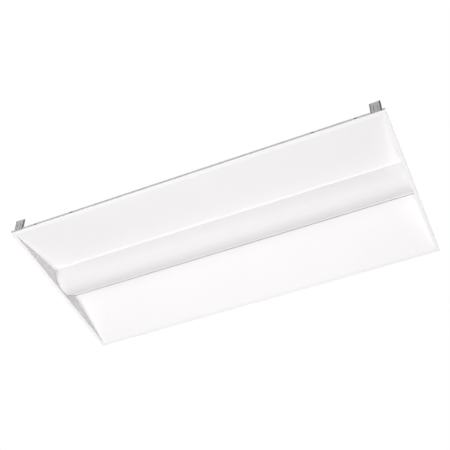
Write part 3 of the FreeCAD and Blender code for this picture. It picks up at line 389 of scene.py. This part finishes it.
def frosted(name, value):
    """Frosted acrylic lens, unlit and opaque: a matt white skin with faint extrusion lines."""
    shader = Shader(name)
    lines = shader.noise(220.0, detail=2.0, vector=shader.stretched((0.004, 1.0, 1.0)))
    colour = shader.ramp(shader.ranged(lines, 0.0, 1.0), off_white(value * 0.99), off_white(value))
    shader.link(colour, shader.surface.inputs["Base Color"])
    frost = shader.noise(1500.0, detail=2.0)
    shader.link(shader.ranged(frost, *LENS_ROUGHNESS), shader.surface.inputs["Roughness"])
    shader.bump(frost, 0.08, 0.0001)
    return shader.material


def plastic(name, colour, roughness):
    """Moulded plastic or rubber with a fine grain."""
    shader = Shader(name)
    grain = shader.noise(600.0, detail=3.0)
    darker = tuple(channel * (1 - PLASTIC_SPECKLE) for channel in colour)
    shader.link(shader.ramp(shader.ranged(grain, 0.0, 1.0), darker, colour),
                shader.surface.inputs["Base Color"])
    shader.link(shader.ranged(grain, roughness - 0.05, roughness + 0.08), shader.surface.inputs["Roughness"])
    shader.bump(grain, 0.1, 0.0001)
    return shader.material


# ---------------------------------------------------------------- finishes of the carried nodes
WINGS = ("wing_near", "wing_far")
wing_sheet = sprayed("wing_sheet", value=0.87, dark=0.54, light=0.66)
zinc_sheet = galvanised("galvanised_sheet", dark=0.45, light=0.62)
zinc_clip = galvanised("galvanised_clip", dark=0.70, light=0.84, **CLIP_LOOK)
# Darker copies of the clip's zinc: painted shade on the foot and leaf behind its front sheet, and near-black
# painted shade on its outer flange.
leaf_painted_shade = galvanised("leaf_painted_shade", dark=0.32, light=0.42, **CLIP_LOOK)
flange_painted_shade = galvanised("flange_painted_shade", dark=0.12, light=0.17, **CLIP_LOOK)
plated = steel("zinc_plated", value=0.62)
FINISHES = {
    "white_enamel": enamel("white_enamel", value=0.87),
    "galvanised_sheet": zinc_sheet,
    "galvanised_clip": zinc_clip,
    "frosted_lens": frosted("frosted_lens", value=0.79),
    "zinc_steel": plated,
    "spring_steel": steel("spring_steel", value=0.5, roughness=0.22),
    "board_white": plastic("board_white", (0.78, 0.79, 0.78), roughness=0.35),
    "led_phosphor": plastic("led_phosphor", (0.85, 0.62, 0.12), roughness=0.3),
    "connector_white": plastic("connector_white", (0.72, 0.72, 0.69), roughness=0.4),
    "connector_clear": plastic("connector_clear", (0.72, 0.25, 0.05), roughness=0.25),
    "lead_white": plastic("lead_white", (0.7, 0.7, 0.7), roughness=0.35),
    "lead_black": plastic("lead_black", (0.02, 0.02, 0.02), roughness=0.35),
    "lead_green": plastic("lead_green", (0.02, 0.22, 0.05), roughness=0.35),
    "ground_green": steel("ground_green", value=0.3),
    "rubber_black": plastic("rubber_black", (0.025, 0.025, 0.025), roughness=0.6),
    "driver_case": enamel("driver_case", value=0.74, roughness=0.45),
}


def dress_nodes():
    """Give every carried node its finish: the wings their own, the others by material slot."""
    for subpart in frame["record"]["subparts"]:
        node = subpart["node"]
        finish = wing_sheet if node in WINGS else FINISHES[subpart["material_slot"]]
        mesh = frame["nodes"][node].data
        mesh.materials.clear()
        mesh.materials.append(finish)


# ---------------------------------------------------------------- mesh helpers
def place_at(point, up):
    """Matrix that moves a shape drawn round +Z to a point and turns its axis to up."""
    return Matrix.Translation(point) @ Vector(up).to_track_quat("Z", "Y").to_matrix().to_4x4()


def loop_of(mesh, points, place):
    """New vertices at the points, moved by the place's matrix."""
    return [mesh.verts.new(place @ Vector(point)) for point in points]


def circle(radius, height, segments, wave=0.0):
    """Points round +Z; a wave makes every second point stand in by that much."""
    points = []
    for i in range(segments):
        angle = 2 * math.pi * i / segments
        reach = radius - wave * (i % 2)
        points.append((reach * math.cos(angle), reach * math.sin(angle), height))
    return points


def walls(mesh, loops, material=0):
    """Rings of faces between each loop and the next."""
    for lower, upper in zip(loops, loops[1:]):
        for i, vertex in enumerate(lower):
            j = (i + 1) % len(lower)
            face = mesh.faces.new((vertex, lower[j], upper[j], upper[i]))
            face.material_index = material


def cap(mesh, loop, material=0):
    """Face that closes a loop."""
    mesh.faces.new(loop).material_index = material


def cap_round(mesh, loops):
    """Flat faces that fill the first loop and leave the others open."""
    edges = []
    for loop in loops:
        for i, vertex in enumerate(loop):
            pair = (vertex, loop[(i + 1) % len(loop)])
            edges.append(mesh.edges.get(pair) or mesh.edges.new(pair))
    bmesh.ops.triangle_fill(mesh, use_beauty=True, edges=edges)


def turned(mesh, profile, place, segments=24, material=0):
    """Turned shape along +Z from its (radius, height) profile, closed at both ends."""
    loops = [loop_of(mesh, circle(radius, height, segments), place) for radius, height in profile]
    cap(mesh, loops[0], material)
    walls(mesh, loops, material)
    cap(mesh, loops[-1], material)


def block(mesh, centre, size, edge, turn=Matrix.Identity(3), material=0):
    """Moulded block with rounded edges."""
    place = Matrix.Translation(centre) @ (turn @ Matrix.Diagonal(size)).to_4x4()
    made = bmesh.ops.create_cube(mesh, size=1.0, matrix=place)
    for face in [face for vertex in made["verts"] for face in vertex.link_faces]:
        face.material_index = material
    sides = list(dict.fromkeys(side for vertex in made["verts"] for side in vertex.link_edges))
    bmesh.ops.bevel(mesh, geom=sides, offset=edge, segments=2, affect="EDGES", profile=0.6)


def plate(mesh, outline, holes, place, thickness):
    """Flat plate drawn at height 0 to the thickness, with holes through it."""
    levels = []
    for height in (0.0, thickness):
        levels.append([loop_of(mesh, [(x, y, height) for x, y in points], place)
                       for points in [outline] + holes])
        cap_round(mesh, levels[-1])
    for pair in zip(*levels):
        walls(mesh, pair)


def finished(mesh, name, body, materials, replaced=()):
    """Make a piece of the mesh, riding on a body and standing for the nodes it replaces."""
    bmesh.ops.recalc_face_normals(mesh, faces=mesh.faces)
    data = bpy.data.meshes.new(name)
    mesh.to_mesh(data)
    mesh.free()
    data.shade_smooth()
    data.set_sharp_from_angle(angle=SHARP_ANGLE)
    for material in materials:
        data.materials.append(material)
    piece = bpy.data.objects.new(name, data)
    bpy.context.collection.objects.link(piece)
    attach(piece, body)
    if replaced:
        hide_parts(*replaced)


def solids(node, turn=Matrix.Identity(3)):
    """Centre and size of each separate solid of a node, measured along a turned frame's axes."""
    mesh = bmesh.new()
    mesh.from_mesh(frame["nodes"][node].data)
    bmesh.ops.remove_doubles(mesh, verts=mesh.verts, dist=1e-6)
    back = turn.transposed()
    left = set(mesh.verts)
    found = []
    while left:
        queue = [left.pop()]
        points = []
        while queue:
            vertex = queue.pop()
            points.append(back @ vertex.co)
            near = {side.other_vert(vertex) for side in vertex.link_edges} & left
            left -= near
            queue.extend(near)
        low = Vector([min(point[i] for point in points) for i in range(3)])
        high = Vector([max(point[i] for point in points) for i in range(3)])
        found.append(((low + high) / 2, high - low))
    mesh.free()
    return sorted(found, key=lambda solid: [round(value, 5) for value in solid[0]])


# ---------------------------------------------------------------- screws and rivets
def cross_outline(reach, half):
    """Outline of a cross recess."""
    quarter = [(reach, -half), (reach, half), (half, half)]
    points = []
    for i in range(4):
        turn = Matrix.Rotation(i * math.pi / 2, 2)
        points += [tuple(turn @ Vector(point)) for point in quarter]
    return points


def slot_outline(reach, half):
    """Outline of a straight slot."""
    return [(reach, -half), (reach, half), (-reach, half), (-reach, -half)]


def recessed_top(mesh, rim, place, height, outline, depth, taper=1.0):
    """Top face within a rim, with a recess of the outline sunk into it."""
    opening = loop_of(mesh, [(x, y, height) for x, y in outline], place)
    floor = loop_of(mesh, [(x * taper, y * taper, height - depth) for x, y in outline], place)
    cap_round(mesh, [rim, opening])
    walls(mesh, [floor, opening])
    cap(mesh, floor)


def screw_head(mesh, place, radius, height, recess):
    """Pan head standing on the place's plane, with a tapered recess in its top."""
    loops = [loop_of(mesh, circle(radius * r, height * h, segments=32), place) for r, h in PAN_HEAD]
    cap(mesh, loops[0])
    walls(mesh, loops)
    recessed_top(mesh, loops[-1], place, height, recess, height * RECESS_DEPTH, RECESS_TAPER)


def screw_shank(mesh, place, radius, length):
    """Threaded shank below the place's plane, with a blunt point."""
    profile = [(radius * 0.5, -length)]
    count = max(2, int((length - radius) / THREAD_PITCH))
    step = (length - radius) / count
    for i in range(count, 0, -1):
        profile += [(radius, -i * step), (radius * THREAD_ROOT, -(i - 0.5) * step)]
    profile.append((radius, 0.0))
    turned(mesh, profile, place, segments=16)


def screws(node, head_height, shank_radius, up, turn=Matrix.Identity(3), slotted=False):
    """Detailed screws in place of a node's plain ones; up is the head's side in the turned frame."""
    mesh = bmesh.new()
    for centre, size in solids(node, turn):
        radius = size.x / 2
        base = centre + Vector((0, 0, up * (size.z / 2 - head_height)))
        place = place_at(turn @ base, turn @ Vector((0, 0, up)))
        if slotted:
            recess = slot_outline(radius * SLOT_REACH, radius * RECESS_HALF)
        else:
            recess = cross_outline(radius * CROSS_REACH, radius * RECESS_HALF)
        screw_head(mesh, place, radius, head_height, recess)
        screw_shank(mesh, place, shank_radius, size.z - head_height)
    finished(mesh, node + "_threaded", "housing", [plated], [node])


def catch_rivets():
    """Rivets with a rounded head inside and outside the spine's side."""
    mesh = bmesh.new()
    for centre, size in solids("catch_rivets"):
        radius = size.x / 2
        reach = size.y / 2
        profile = [(radius * share, depth - reach) for share, depth in RIVET_HEAD]
        profile += [(radius * share, reach - depth) for share, depth in reversed(RIVET_HEAD)]
        turned(mesh, profile, place_at(centre, (0, 1, 0)))
    finished(mesh, "catch_rivets_domed", "housing", [plated], ["catch_rivets"])


def cover_screw():
    """Captive screw of the cover: a knurled rim and a screwdriver slot."""
    centre, size = solids("cover_screw")[0]
    radius = size.x / 2
    top = centre.z + size.z / 2
    place = place_at((centre.x, centre.y, top - KNURL_HEIGHT), (0, 0, 1))
    mesh = bmesh.new()
    rim = ((radius * 0.9, 0.0, 0.0), (radius, KNURL_CHAMFER, KNURL_DEPTH),
           (radius, KNURL_HEIGHT - KNURL_CHAMFER, KNURL_DEPTH), (radius * 0.88, KNURL_HEIGHT, 0.0))
    loops = [loop_of(mesh, circle(r, h, segments=72, wave=wave), place) for r, h, wave in rim]
    cap(mesh, loops[0])
    walls(mesh, loops)
    slot = slot_outline(radius * 0.8, COVER_SLOT_HALF)
    recessed_top(mesh, loops[-1], place, KNURL_HEIGHT, slot, COVER_SLOT_DEPTH)
    screw_shank(mesh, place, COVER_SHANK, size.z - KNURL_HEIGHT)
    finished(mesh, "cover_screw_knurled", "cover", [plated], ["cover_screw"])


# ---------------------------------------------------------------- light engine
def led_chips():
    """Chips with a white frame, a yellow window and a soldered foot at each end."""
    mesh = bmesh.new()
    for centre, size in solids("led_chips"):
        place = place_at(centre + Vector((0, 0, size.z / 2)), (0, 0, -1))
        half_x = size.y / 2
        half_y = size.x / 2
        loops = []
        for x, y, z in CHIP_RINGS:
            corners = [(side_x * half_x * x, side_y * half_y * y, size.z * z)
                       for side_x, side_y in ((1, -1), (1, 1), (-1, 1), (-1, -1))]
            loops.append(loop_of(mesh, corners, place))
        walls(mesh, loops)
        cap(mesh, loops[-1], 1)
        for side in (-1, 1):
            foot = centre + Vector((side * (size.x / 2 + CHIP_FOOT_OUT), 0, size.z / 2 - CHIP_SOLDER / 2))
            block(mesh, foot, (CHIP_FOOT, size.y * 0.7, CHIP_SOLDER), edge=CHIP_SOLDER / 4, material=2)
    finished(mesh, "led_chips_framed", "housing",
             [FINISHES["connector_white"], FINISHES["led_phosphor"], plated],
             ["led_chips"])


def wire_side(centre):
    """Side of a board connector at which its leads go in."""
    if abs(centre.x) < INNER_CONNECTOR_X:
        return Vector((-math.copysign(1, centre.x), 0, 0))
    return Vector((0, -math.copysign(1, centre.y), 0))


def board_connectors():
    """Poke-in connectors: a moulded body, two funnels for the leads and two release tabs."""
    mesh = bmesh.new()
    for centre, size in solids("board_connectors"):
        block(mesh, centre, size, edge=0.0004)
        side = wire_side(centre)
        across = Vector((-side.y, side.x, 0))
        reach = size.x / 2 if side.x else size.y / 2
        for shift in (-LEAD_SPACING / 2, LEAD_SPACING / 2):
            mouth = centre + side * (reach - FUNNEL_INSET) + across * shift
            walls(mesh, [loop_of(mesh, circle(r, h, segments=20), place_at(mouth, side)) for r, h in FUNNEL])
            tab = centre + across * shift - side * RELEASE_BACK - Vector((0, 0, size.z / 2))
            block(mesh, tab, RELEASE_TAB, edge=0.0002, material=1)
    finished(mesh, "board_connectors_moulded", "housing",
             [FINISHES["connector_white"], FINISHES["lead_black"]],
             ["board_connectors"])


def splice_connectors(tray):
    """Push-in wire connectors: an orange body with a white cap and two wire openings."""
    mesh = bmesh.new()
    for centre, size in solids("splice_connectors", tray):
        cap_length = size.x * SPLICE_CAP
        body = centre + Vector((cap_length / 2, 0, 0))
        block(mesh, tray @ body, (size.x - cap_length, size.y, size.z), edge=0.0008, turn=tray)
        end = centre - Vector(((size.x - cap_length) / 2, 0, 0))
        fit = (cap_length, size.y * SPLICE_CAP_FIT, size.z * SPLICE_CAP_FIT)
        block(mesh, tray @ end, fit, edge=0.0005, turn=tray, material=1)
        for shift in (-SPLICE_MOUTH_PLACE, SPLICE_MOUTH_PLACE):
            mouth = centre + Vector((-size.x / 2, 0, shift * size.z))
            place = place_at(tray @ mouth, tray @ Vector((-1, 0, 0)))
            turned(mesh, SPLICE_MOUTH, place, segments=16, material=2)
    finished(mesh, "splice_connectors_moulded", "housing",
             [FINISHES["connector_clear"], FINISHES["connector_white"], FINISHES["lead_black"]],
             ["splice_connectors"])


def driver_trim(tray):
    """The driver's lid: side seams with rivet heads, a frame at each end and two ribs on top."""
    centre, size = solids("led_driver", tray)[0]
    length = size.x - 2 * DRIVER_TAB
    mesh = bmesh.new()
    for side in (-1, 1):
        seam = centre + Vector((0, side * size.y / 2, size.z * LID_SEAM_RISE))
        block(mesh, tray @ seam, (length - LID_SEAM_SHORT, *LID_SEAM), edge=0.0002, turn=tray)
        end = centre + Vector((side * length / 2, 0, -LID_FRAME_DROP))
        panel = (LID_FRAME, size.y - LID_FRAME_SHORT[0], size.z - LID_FRAME_SHORT[1])
        block(mesh, tray @ end, panel, edge=0.0003, turn=tray)
        for along in LID_RIVET_PLACES:
            head = centre + Vector((along * length, side * size.y / 2, size.z * LID_RIVET_RISE))
            place = place_at(tray @ head, tray @ Vector((0, side, 0)))
            turned(mesh, LID_RIVET, place, segments=16)
    for shift in (-LID_RIB_PLACE, LID_RIB_PLACE):
        rib = centre + Vector((0, shift, size.z / 2))
        block(mesh, tray @ rib, (length - LID_RIB_SHORT, *LID_RIB), edge=0.0003, turn=tray)
    finished(mesh, "driver_trim", "housing", [FINISHES["driver_case"]])


# ---------------------------------------------------------------- sheet details of the back
def back_height(y, sheets):
    """Height of the wing's back at y, over a number of sheets."""
    return WING_RISE - (abs(y) - WING_EDGE) * WING_SLOPE + sheets * SHEET_RISE


def clinch_button(mesh, point, up):
    """Round dished button left by a clinching tool."""
    turned(mesh, CLINCH_BUTTON, place_at(point, up), segments=20)


def clinched_joints():
    """Buttons along the spine's feet and on the end brackets."""
    mesh = bmesh.new()
    tilt = math.atan(WING_SLOPE)
    tray_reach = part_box("driver_tray")[1].x + TRAY_MARGIN
    for side in (-1, 1):
        up = (0, side * math.sin(tilt), math.cos(tilt))
        for i in range(-FOOT_BUTTONS, FOOT_BUTTONS + 1):
            x = i * FOOT_BUTTON_PITCH
            if side < 0 or abs(x) > tray_reach:
                clinch_button(mesh, (x, side * FOOT_BUTTON_Y, back_height(FOOT_BUTTON_Y, 2)), up)
        for end in (-1, 1):
            for y in BRACKET_BUTTONS_Y:
                clinch_button(mesh, (end * BRACKET_BUTTON_X, side * y, back_height(y, 2)), up)
    finished(mesh, "clinched_joints", "housing", [zinc_sheet])


def bead(mesh, x0, x1, y, z):
    """Long rounded rib pressed up out of a flat sheet, fading out at both ends."""
    stations = []
    for i in range(BEAD_FADE_STEPS + 1):
        rise = math.sin(i / BEAD_FADE_STEPS * math.pi / 2)
        stations.append((BEAD_FADE * i / BEAD_FADE_STEPS, max(rise, BEAD_END_RISE)))
    ends = [(x0 + along, rise) for along, rise in stations]
    ends += [(x1 - along, rise) for along, rise in reversed(stations)]
    loops = []
    for x, rise in ends:
        width = BEAD_END_WIDTH + (1 - BEAD_END_WIDTH) * rise
        points = []
        for j in range(BEAD_ARC_STEPS + 1):
            angle = math.pi * j / BEAD_ARC_STEPS
            points.append((x, y + BEAD_HALF * math.cos(angle) * width,
                           z + BEAD_HEIGHT * math.sin(angle) * rise))
        loops.append([mesh.verts.new(point) for point in points])
    for first, second in zip(loops, loops[1:]):
        for j in range(BEAD_ARC_STEPS):
            mesh.faces.new((first[j], first[j + 1], second[j + 1], second[j]))


def spine_beads():
    """Two stiffening ribs along the top of the spine."""
    low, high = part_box("spine_channel")
    mesh = bmesh.new()
    for side in (-1, 1):
        bead(mesh, low.x + BEAD_END, high.x - BEAD_END, side * BEAD_PLACE, high.z)
    finished(mesh, "spine_beads", "housing", [zinc_sheet])


def knockout():
    """Knock-out disc with a pry slot, still in place in the tray's right wall."""
    centre, size = solids("knockout_disc")[0]
    radius = size.y / 2
    place = place_at(centre - Vector((size.x / 2, 0, 0)), (1, 0, 0))
    outline = [(x, y) for x, y, _ in circle(radius, 0, segments=48)]
    mesh = bmesh.new()
    plate(mesh, outline, [slot_outline(radius * 0.4, PRY_SLOT_HALF)], place, size.x)
    finished(mesh, "knockout_slotted", "housing", [zinc_sheet], ["knockout_disc"])


# ---------------------------------------------------------------- grid clips
def clip_path():
    """Rows (distance, x, y) along the outer skin of the far right clip's folded sheet."""
    face = CLIP_OUTER - CLIP_OUTER_BEND - CLIP_SHEET_INNER
    rows = [(0.0, CLIP_SHEET_INNER, CLIP_FACE)]
    for i in range(BEND_STEPS + 1):
        angle = math.pi / 2 * i / BEND_STEPS
        rows.append((face + CLIP_OUTER_BEND * angle,
                     CLIP_OUTER - CLIP_OUTER_BEND * (1 - math.sin(angle)),
                     CLIP_FACE - CLIP_OUTER_BEND * (1 - math.cos(angle))))
    flange = CLIP_DEPTH - CLIP_OUTER_BEND
    rows.append((rows[-1][0] + flange, CLIP_OUTER, CLIP_FACE - CLIP_DEPTH))
    return rows


def along_clip(rows, distance):
    """Point (x, y) at a distance along the clip's skin."""
    for (s0, x0, y0), (s1, x1, y1) in zip(rows, rows[1:]):
        if distance <= s1:
            t = (distance - s0) / (s1 - s0)
            return x0 + (x1 - x0) * t, y0 + (y1 - y0) * t
    return rows[-1][1:]


def clip_outlines(width):
    """Outline, tongue window and hanger hole of the clip's sheet, laid flat."""
    fold_line = width - CLIP_DEPTH
    middle = CLIP_MIDDLE - CLIP_SHEET_INNER
    outline = [(0, CLIP_LOW), (width, CLIP_LOW), (width, CLIP_TOP - CLIP_SHOULDER),
               (width - CLIP_SHOULDER, CLIP_TOP), (fold_line, CLIP_TOP),
               (fold_line - CLIP_SHOULDER, CLIP_SHEET_TOP), (CLIP_CORNER, CLIP_SHEET_TOP),
               (0, CLIP_SHEET_TOP - CLIP_CORNER)]
    half = WINDOW_HALF
    window = [(middle - half, WINDOW_LOW), (middle + half, WINDOW_LOW)]
    for i in range(WINDOW_ARC_STEPS + 1):
        angle = math.pi * i / WINDOW_ARC_STEPS
        window.append((middle + half * math.cos(angle), WINDOW_TOP - half + half * math.sin(angle)))
    hole = [(fold_line + HANGER_INSET + x, HANGER_Z + y) for x, y, _ in circle(HANGER_R, 0, segments=24)]
    return outline, window, hole


def fold_sheet(mesh, rows):
    """Bend a flat sheet along the clip's path and give it its thickness."""
    width = rows[-1][0]
    flat = {vertex: vertex.co.copy() for vertex in mesh.verts}
    inner = {}
    for vertex, point in flat.items():
        x, y = along_clip(rows, point.x)
        ahead = along_clip(rows, min(point.x + NUDGE, width))
        behind = along_clip(rows, max(point.x - NUDGE, 0))
        direction = Vector((ahead[0] - behind[0], ahead[1] - behind[1], 0)).normalized()
        vertex.co = (x, y, point.y)
        inner[vertex] = mesh.verts.new(vertex.co + Vector((direction.y, -direction.x, 0)) * SHEET)
    for side in [side for side in mesh.edges if len(side.link_faces) == 1]:
        first, second = side.verts
        mesh.faces.new((first, second, inner[second], inner[first]))
    for face in [face for face in mesh.faces if all(vertex in inner for vertex in face.verts)]:
        mesh.faces.new([inner[vertex] for vertex in reversed(face.verts)])


def clip_sheet(mesh, rows):
    """The clip's one folded sheet, with the window round its tongue and the hanger hole."""
    loops = [loop_of(mesh, [(s, z, 0) for s, z in points], Matrix.Identity(4))
             for points in clip_outlines(rows[-1][0])]
    cap_round(mesh, loops)
    for distance, _, _ in rows[1:-1]:
        everything = mesh.verts[:] + mesh.edges[:] + mesh.faces[:]
        bmesh.ops.bisect_plane(mesh, geom=everything, plane_co=(distance, 0, 0), plane_no=(1, 0, 0))
    fold_sheet(mesh, rows)
    # The bend and the outer flange take the third material, the near-black painted shade.
    for face in mesh.faces:
        if face.calc_center_median().x > CLIP_OUTER - CLIP_OUTER_BEND:
            face.material_index = 2


def grid_clip(node, side_x, side_y):
    """Folded clip at one corner, drawn at the far right one and mirrored from there.

    Its three materials are for the sheet, for the foot and leaf behind it in a darker zinc that is painted
    shade, and for the outer flange in a near-black zinc that is painted shade.
    """
    mesh = bmesh.new()
    clip_sheet(mesh, clip_path())
    inner_side = CLIP_OUTER - SHEET
    middle = (CLIP_INNER + inner_side) / 2
    foot_y = CLIP_FACE - SHEET - CLIP_FOOT / 2
    # Foot and leaf take the second material, the darker zinc of painted shade.
    block(mesh, (middle, foot_y, CLIP_LOW + SHEET / 2),
          (inner_side - CLIP_INNER, CLIP_FOOT, SHEET), edge=CLIP_ROUND, material=1)
    leaf_y = CLIP_FACE - 1.5 * SHEET - CLIP_LEAF_GAP
    block(mesh, (middle, leaf_y, (CLIP_LOW + CLIP_TOP) / 2),
          (inner_side - CLIP_INNER, SHEET, CLIP_TOP - CLIP_LOW), edge=CLIP_ROUND, material=1)
    for vertex in mesh.verts:
        vertex.co.x *= side_x
        vertex.co.y *= side_y
    finished(mesh, node + "_folded", "housing", [zinc_clip, leaf_painted_shade, flange_painted_shade],
             [node])


def hardware():
    """Every detailed piece that stands for or adds to the carried nodes."""
    tray = Matrix.Rotation(-math.atan(WING_SLOPE), 3, "X")
    screws("board_screws", head_height=0.0015, shank_radius=0.0015, up=-1)
    screws("housing_screws", head_height=0.0015, shank_radius=0.0015, up=1)
    screws("driver_screws", head_height=0.002, shank_radius=0.002, up=1, turn=tray, slotted=True)
    catch_rivets()
    cover_screw()
    led_chips()
    board_connectors()
    splice_connectors(tray)
    driver_trim(tray)
    clinched_joints()
    spine_beads()
    knockout()
    for side_y, row in ((-1, "near"), (1, "far")):
        for side_x, end in ((-1, "left"), (1, "right")):
            grid_clip("grid_clip_" + row + "_" + end, side_x, side_y)


# ---------------------------------------------------------------- studio
def seen_directly(tree):
    """Socket that is 1 for camera, glossy and transmission rays."""
    path = tree.nodes.new("ShaderNodeLightPath")
    socket = path.outputs["Is Camera Ray"]
    for kind in ("Is Glossy Ray", "Is Transmission Ray"):
        node = tree.nodes.new("ShaderNodeMath")
        node.operation = "MAXIMUM"
        tree.links.new(socket, node.inputs[0])
        tree.links.new(path.outputs[kind], node.inputs[1])
        socket = node.outputs[0]
    return socket


def world_light(strength):
    """World that is white to the camera and in reflections, and a plain level of light elsewhere."""
    world = bpy.data.worlds.new("studio")
    world.use_nodes = True
    tree = world.node_tree
    tree.nodes.clear()
    backgrounds = []
    for level in (strength, 1.0):
        node = tree.nodes.new("ShaderNodeBackground")
        node.inputs["Color"].default_value = (1.0, 1.0, 1.0, 1.0)
        node.inputs["Strength"].default_value = level
        backgrounds.append(node)
    mix = tree.nodes.new("ShaderNodeMixShader")
    tree.links.new(seen_directly(tree), mix.inputs["Fac"])
    tree.links.new(backgrounds[0].outputs[0], mix.inputs[1])
    tree.links.new(backgrounds[1].outputs[0], mix.inputs[2])
    output = tree.nodes.new("ShaderNodeOutputWorld")
    tree.links.new(mix.outputs[0], output.inputs["Surface"])
    bpy.context.scene.world = world


def area_light(name, place, size, power):
    """Square soft box at place, turned to the middle of the light."""
    data = bpy.data.lights.new(name, "AREA")
    data.shape = "SQUARE"
    data.size = size
    data.energy = power
    light = bpy.data.objects.new(name, data)
    light.location = place
    light.rotation_euler = (-Vector(place)).to_track_quat("-Z", "Y").to_euler()
    light.visible_camera = False
    light.visible_glossy = False
    bpy.context.collection.objects.link(light)


def pale_floor():
    """Plain pale floor far below the light."""
    mesh = bpy.data.meshes.new("floor")
    grid = bmesh.new()
    bmesh.ops.create_grid(grid, x_segments=1, y_segments=1, size=FLOOR_HALF)
    grid.to_mesh(mesh)
    grid.free()
    floor = bpy.data.objects.new("floor", mesh)
    floor.location = (0, 0, FLOOR_Z)
    bpy.context.collection.objects.link(floor)
    shader = Shader("pale_floor")
    shader.link(shader.ramp(shader.noise(2.0), *map(grey, FLOOR_TONES)), shader.surface.inputs["Base Color"])
    shader.set(Roughness=0.9)
    glow = shader.add("ShaderNodeEmission")
    glow.inputs["Strength"].default_value = FLOOR_GLOW
    nothing = shader.add("ShaderNodeEmission")
    nothing.inputs["Strength"].default_value = 0.0
    seen = shader.add("ShaderNodeMixShader")
    shader.link(seen_directly(shader.tree), seen.inputs[0])
    shader.link(nothing.outputs[0], seen.inputs[1])
    shader.link(glow.outputs[0], seen.inputs[2])
    both = shader.add("ShaderNodeAddShader")
    shader.link(shader.surface.outputs["BSDF"], both.inputs[0])
    shader.link(seen.outputs[0], both.inputs[1])
    shader.link(both.outputs[0], shader.output.inputs["Surface"])
    mesh.materials.append(shader.material)


def photo_camera():
    """Camera at the photograph's place and angle."""
    forward = Vector((-math.sin(CAMERA_YAW) * math.cos(CAMERA_PITCH),
                      math.cos(CAMERA_YAW) * math.cos(CAMERA_PITCH), math.sin(CAMERA_PITCH)))
    level = Vector((math.cos(CAMERA_YAW), math.sin(CAMERA_YAW), 0))
    upright = level.cross(forward)
    right = level * math.cos(CAMERA_ROLL) + upright * math.sin(CAMERA_ROLL)
    up = upright * math.cos(CAMERA_ROLL) - level * math.sin(CAMERA_ROLL)
    data = bpy.data.cameras.new("photo_camera")
    data.sensor_width = SENSOR_MM
    data.lens = FOCAL_PIXELS * SENSOR_MM / FRAME_PIXELS
    data.clip_end = CAMERA_REACH
    camera = bpy.data.objects.new("photo_camera", data)
    turn = Matrix((right, up, -forward)).transposed().to_4x4()
    camera.matrix_world = Matrix.Translation(CAMERA_PLACE) @ turn
    bpy.context.collection.objects.link(camera)
    bpy.context.scene.camera = camera


def studio():
    """World, soft boxes, floor and camera."""
    bpy.context.scene.view_settings.view_transform = "Standard"
    world_light(WORLD_LEVEL)
    for name, place, size, power in SOFT_BOXES:
        area_light(name, place, size, power)
    pale_floor()
    photo_camera()


dress_nodes()
hardware()
studio()
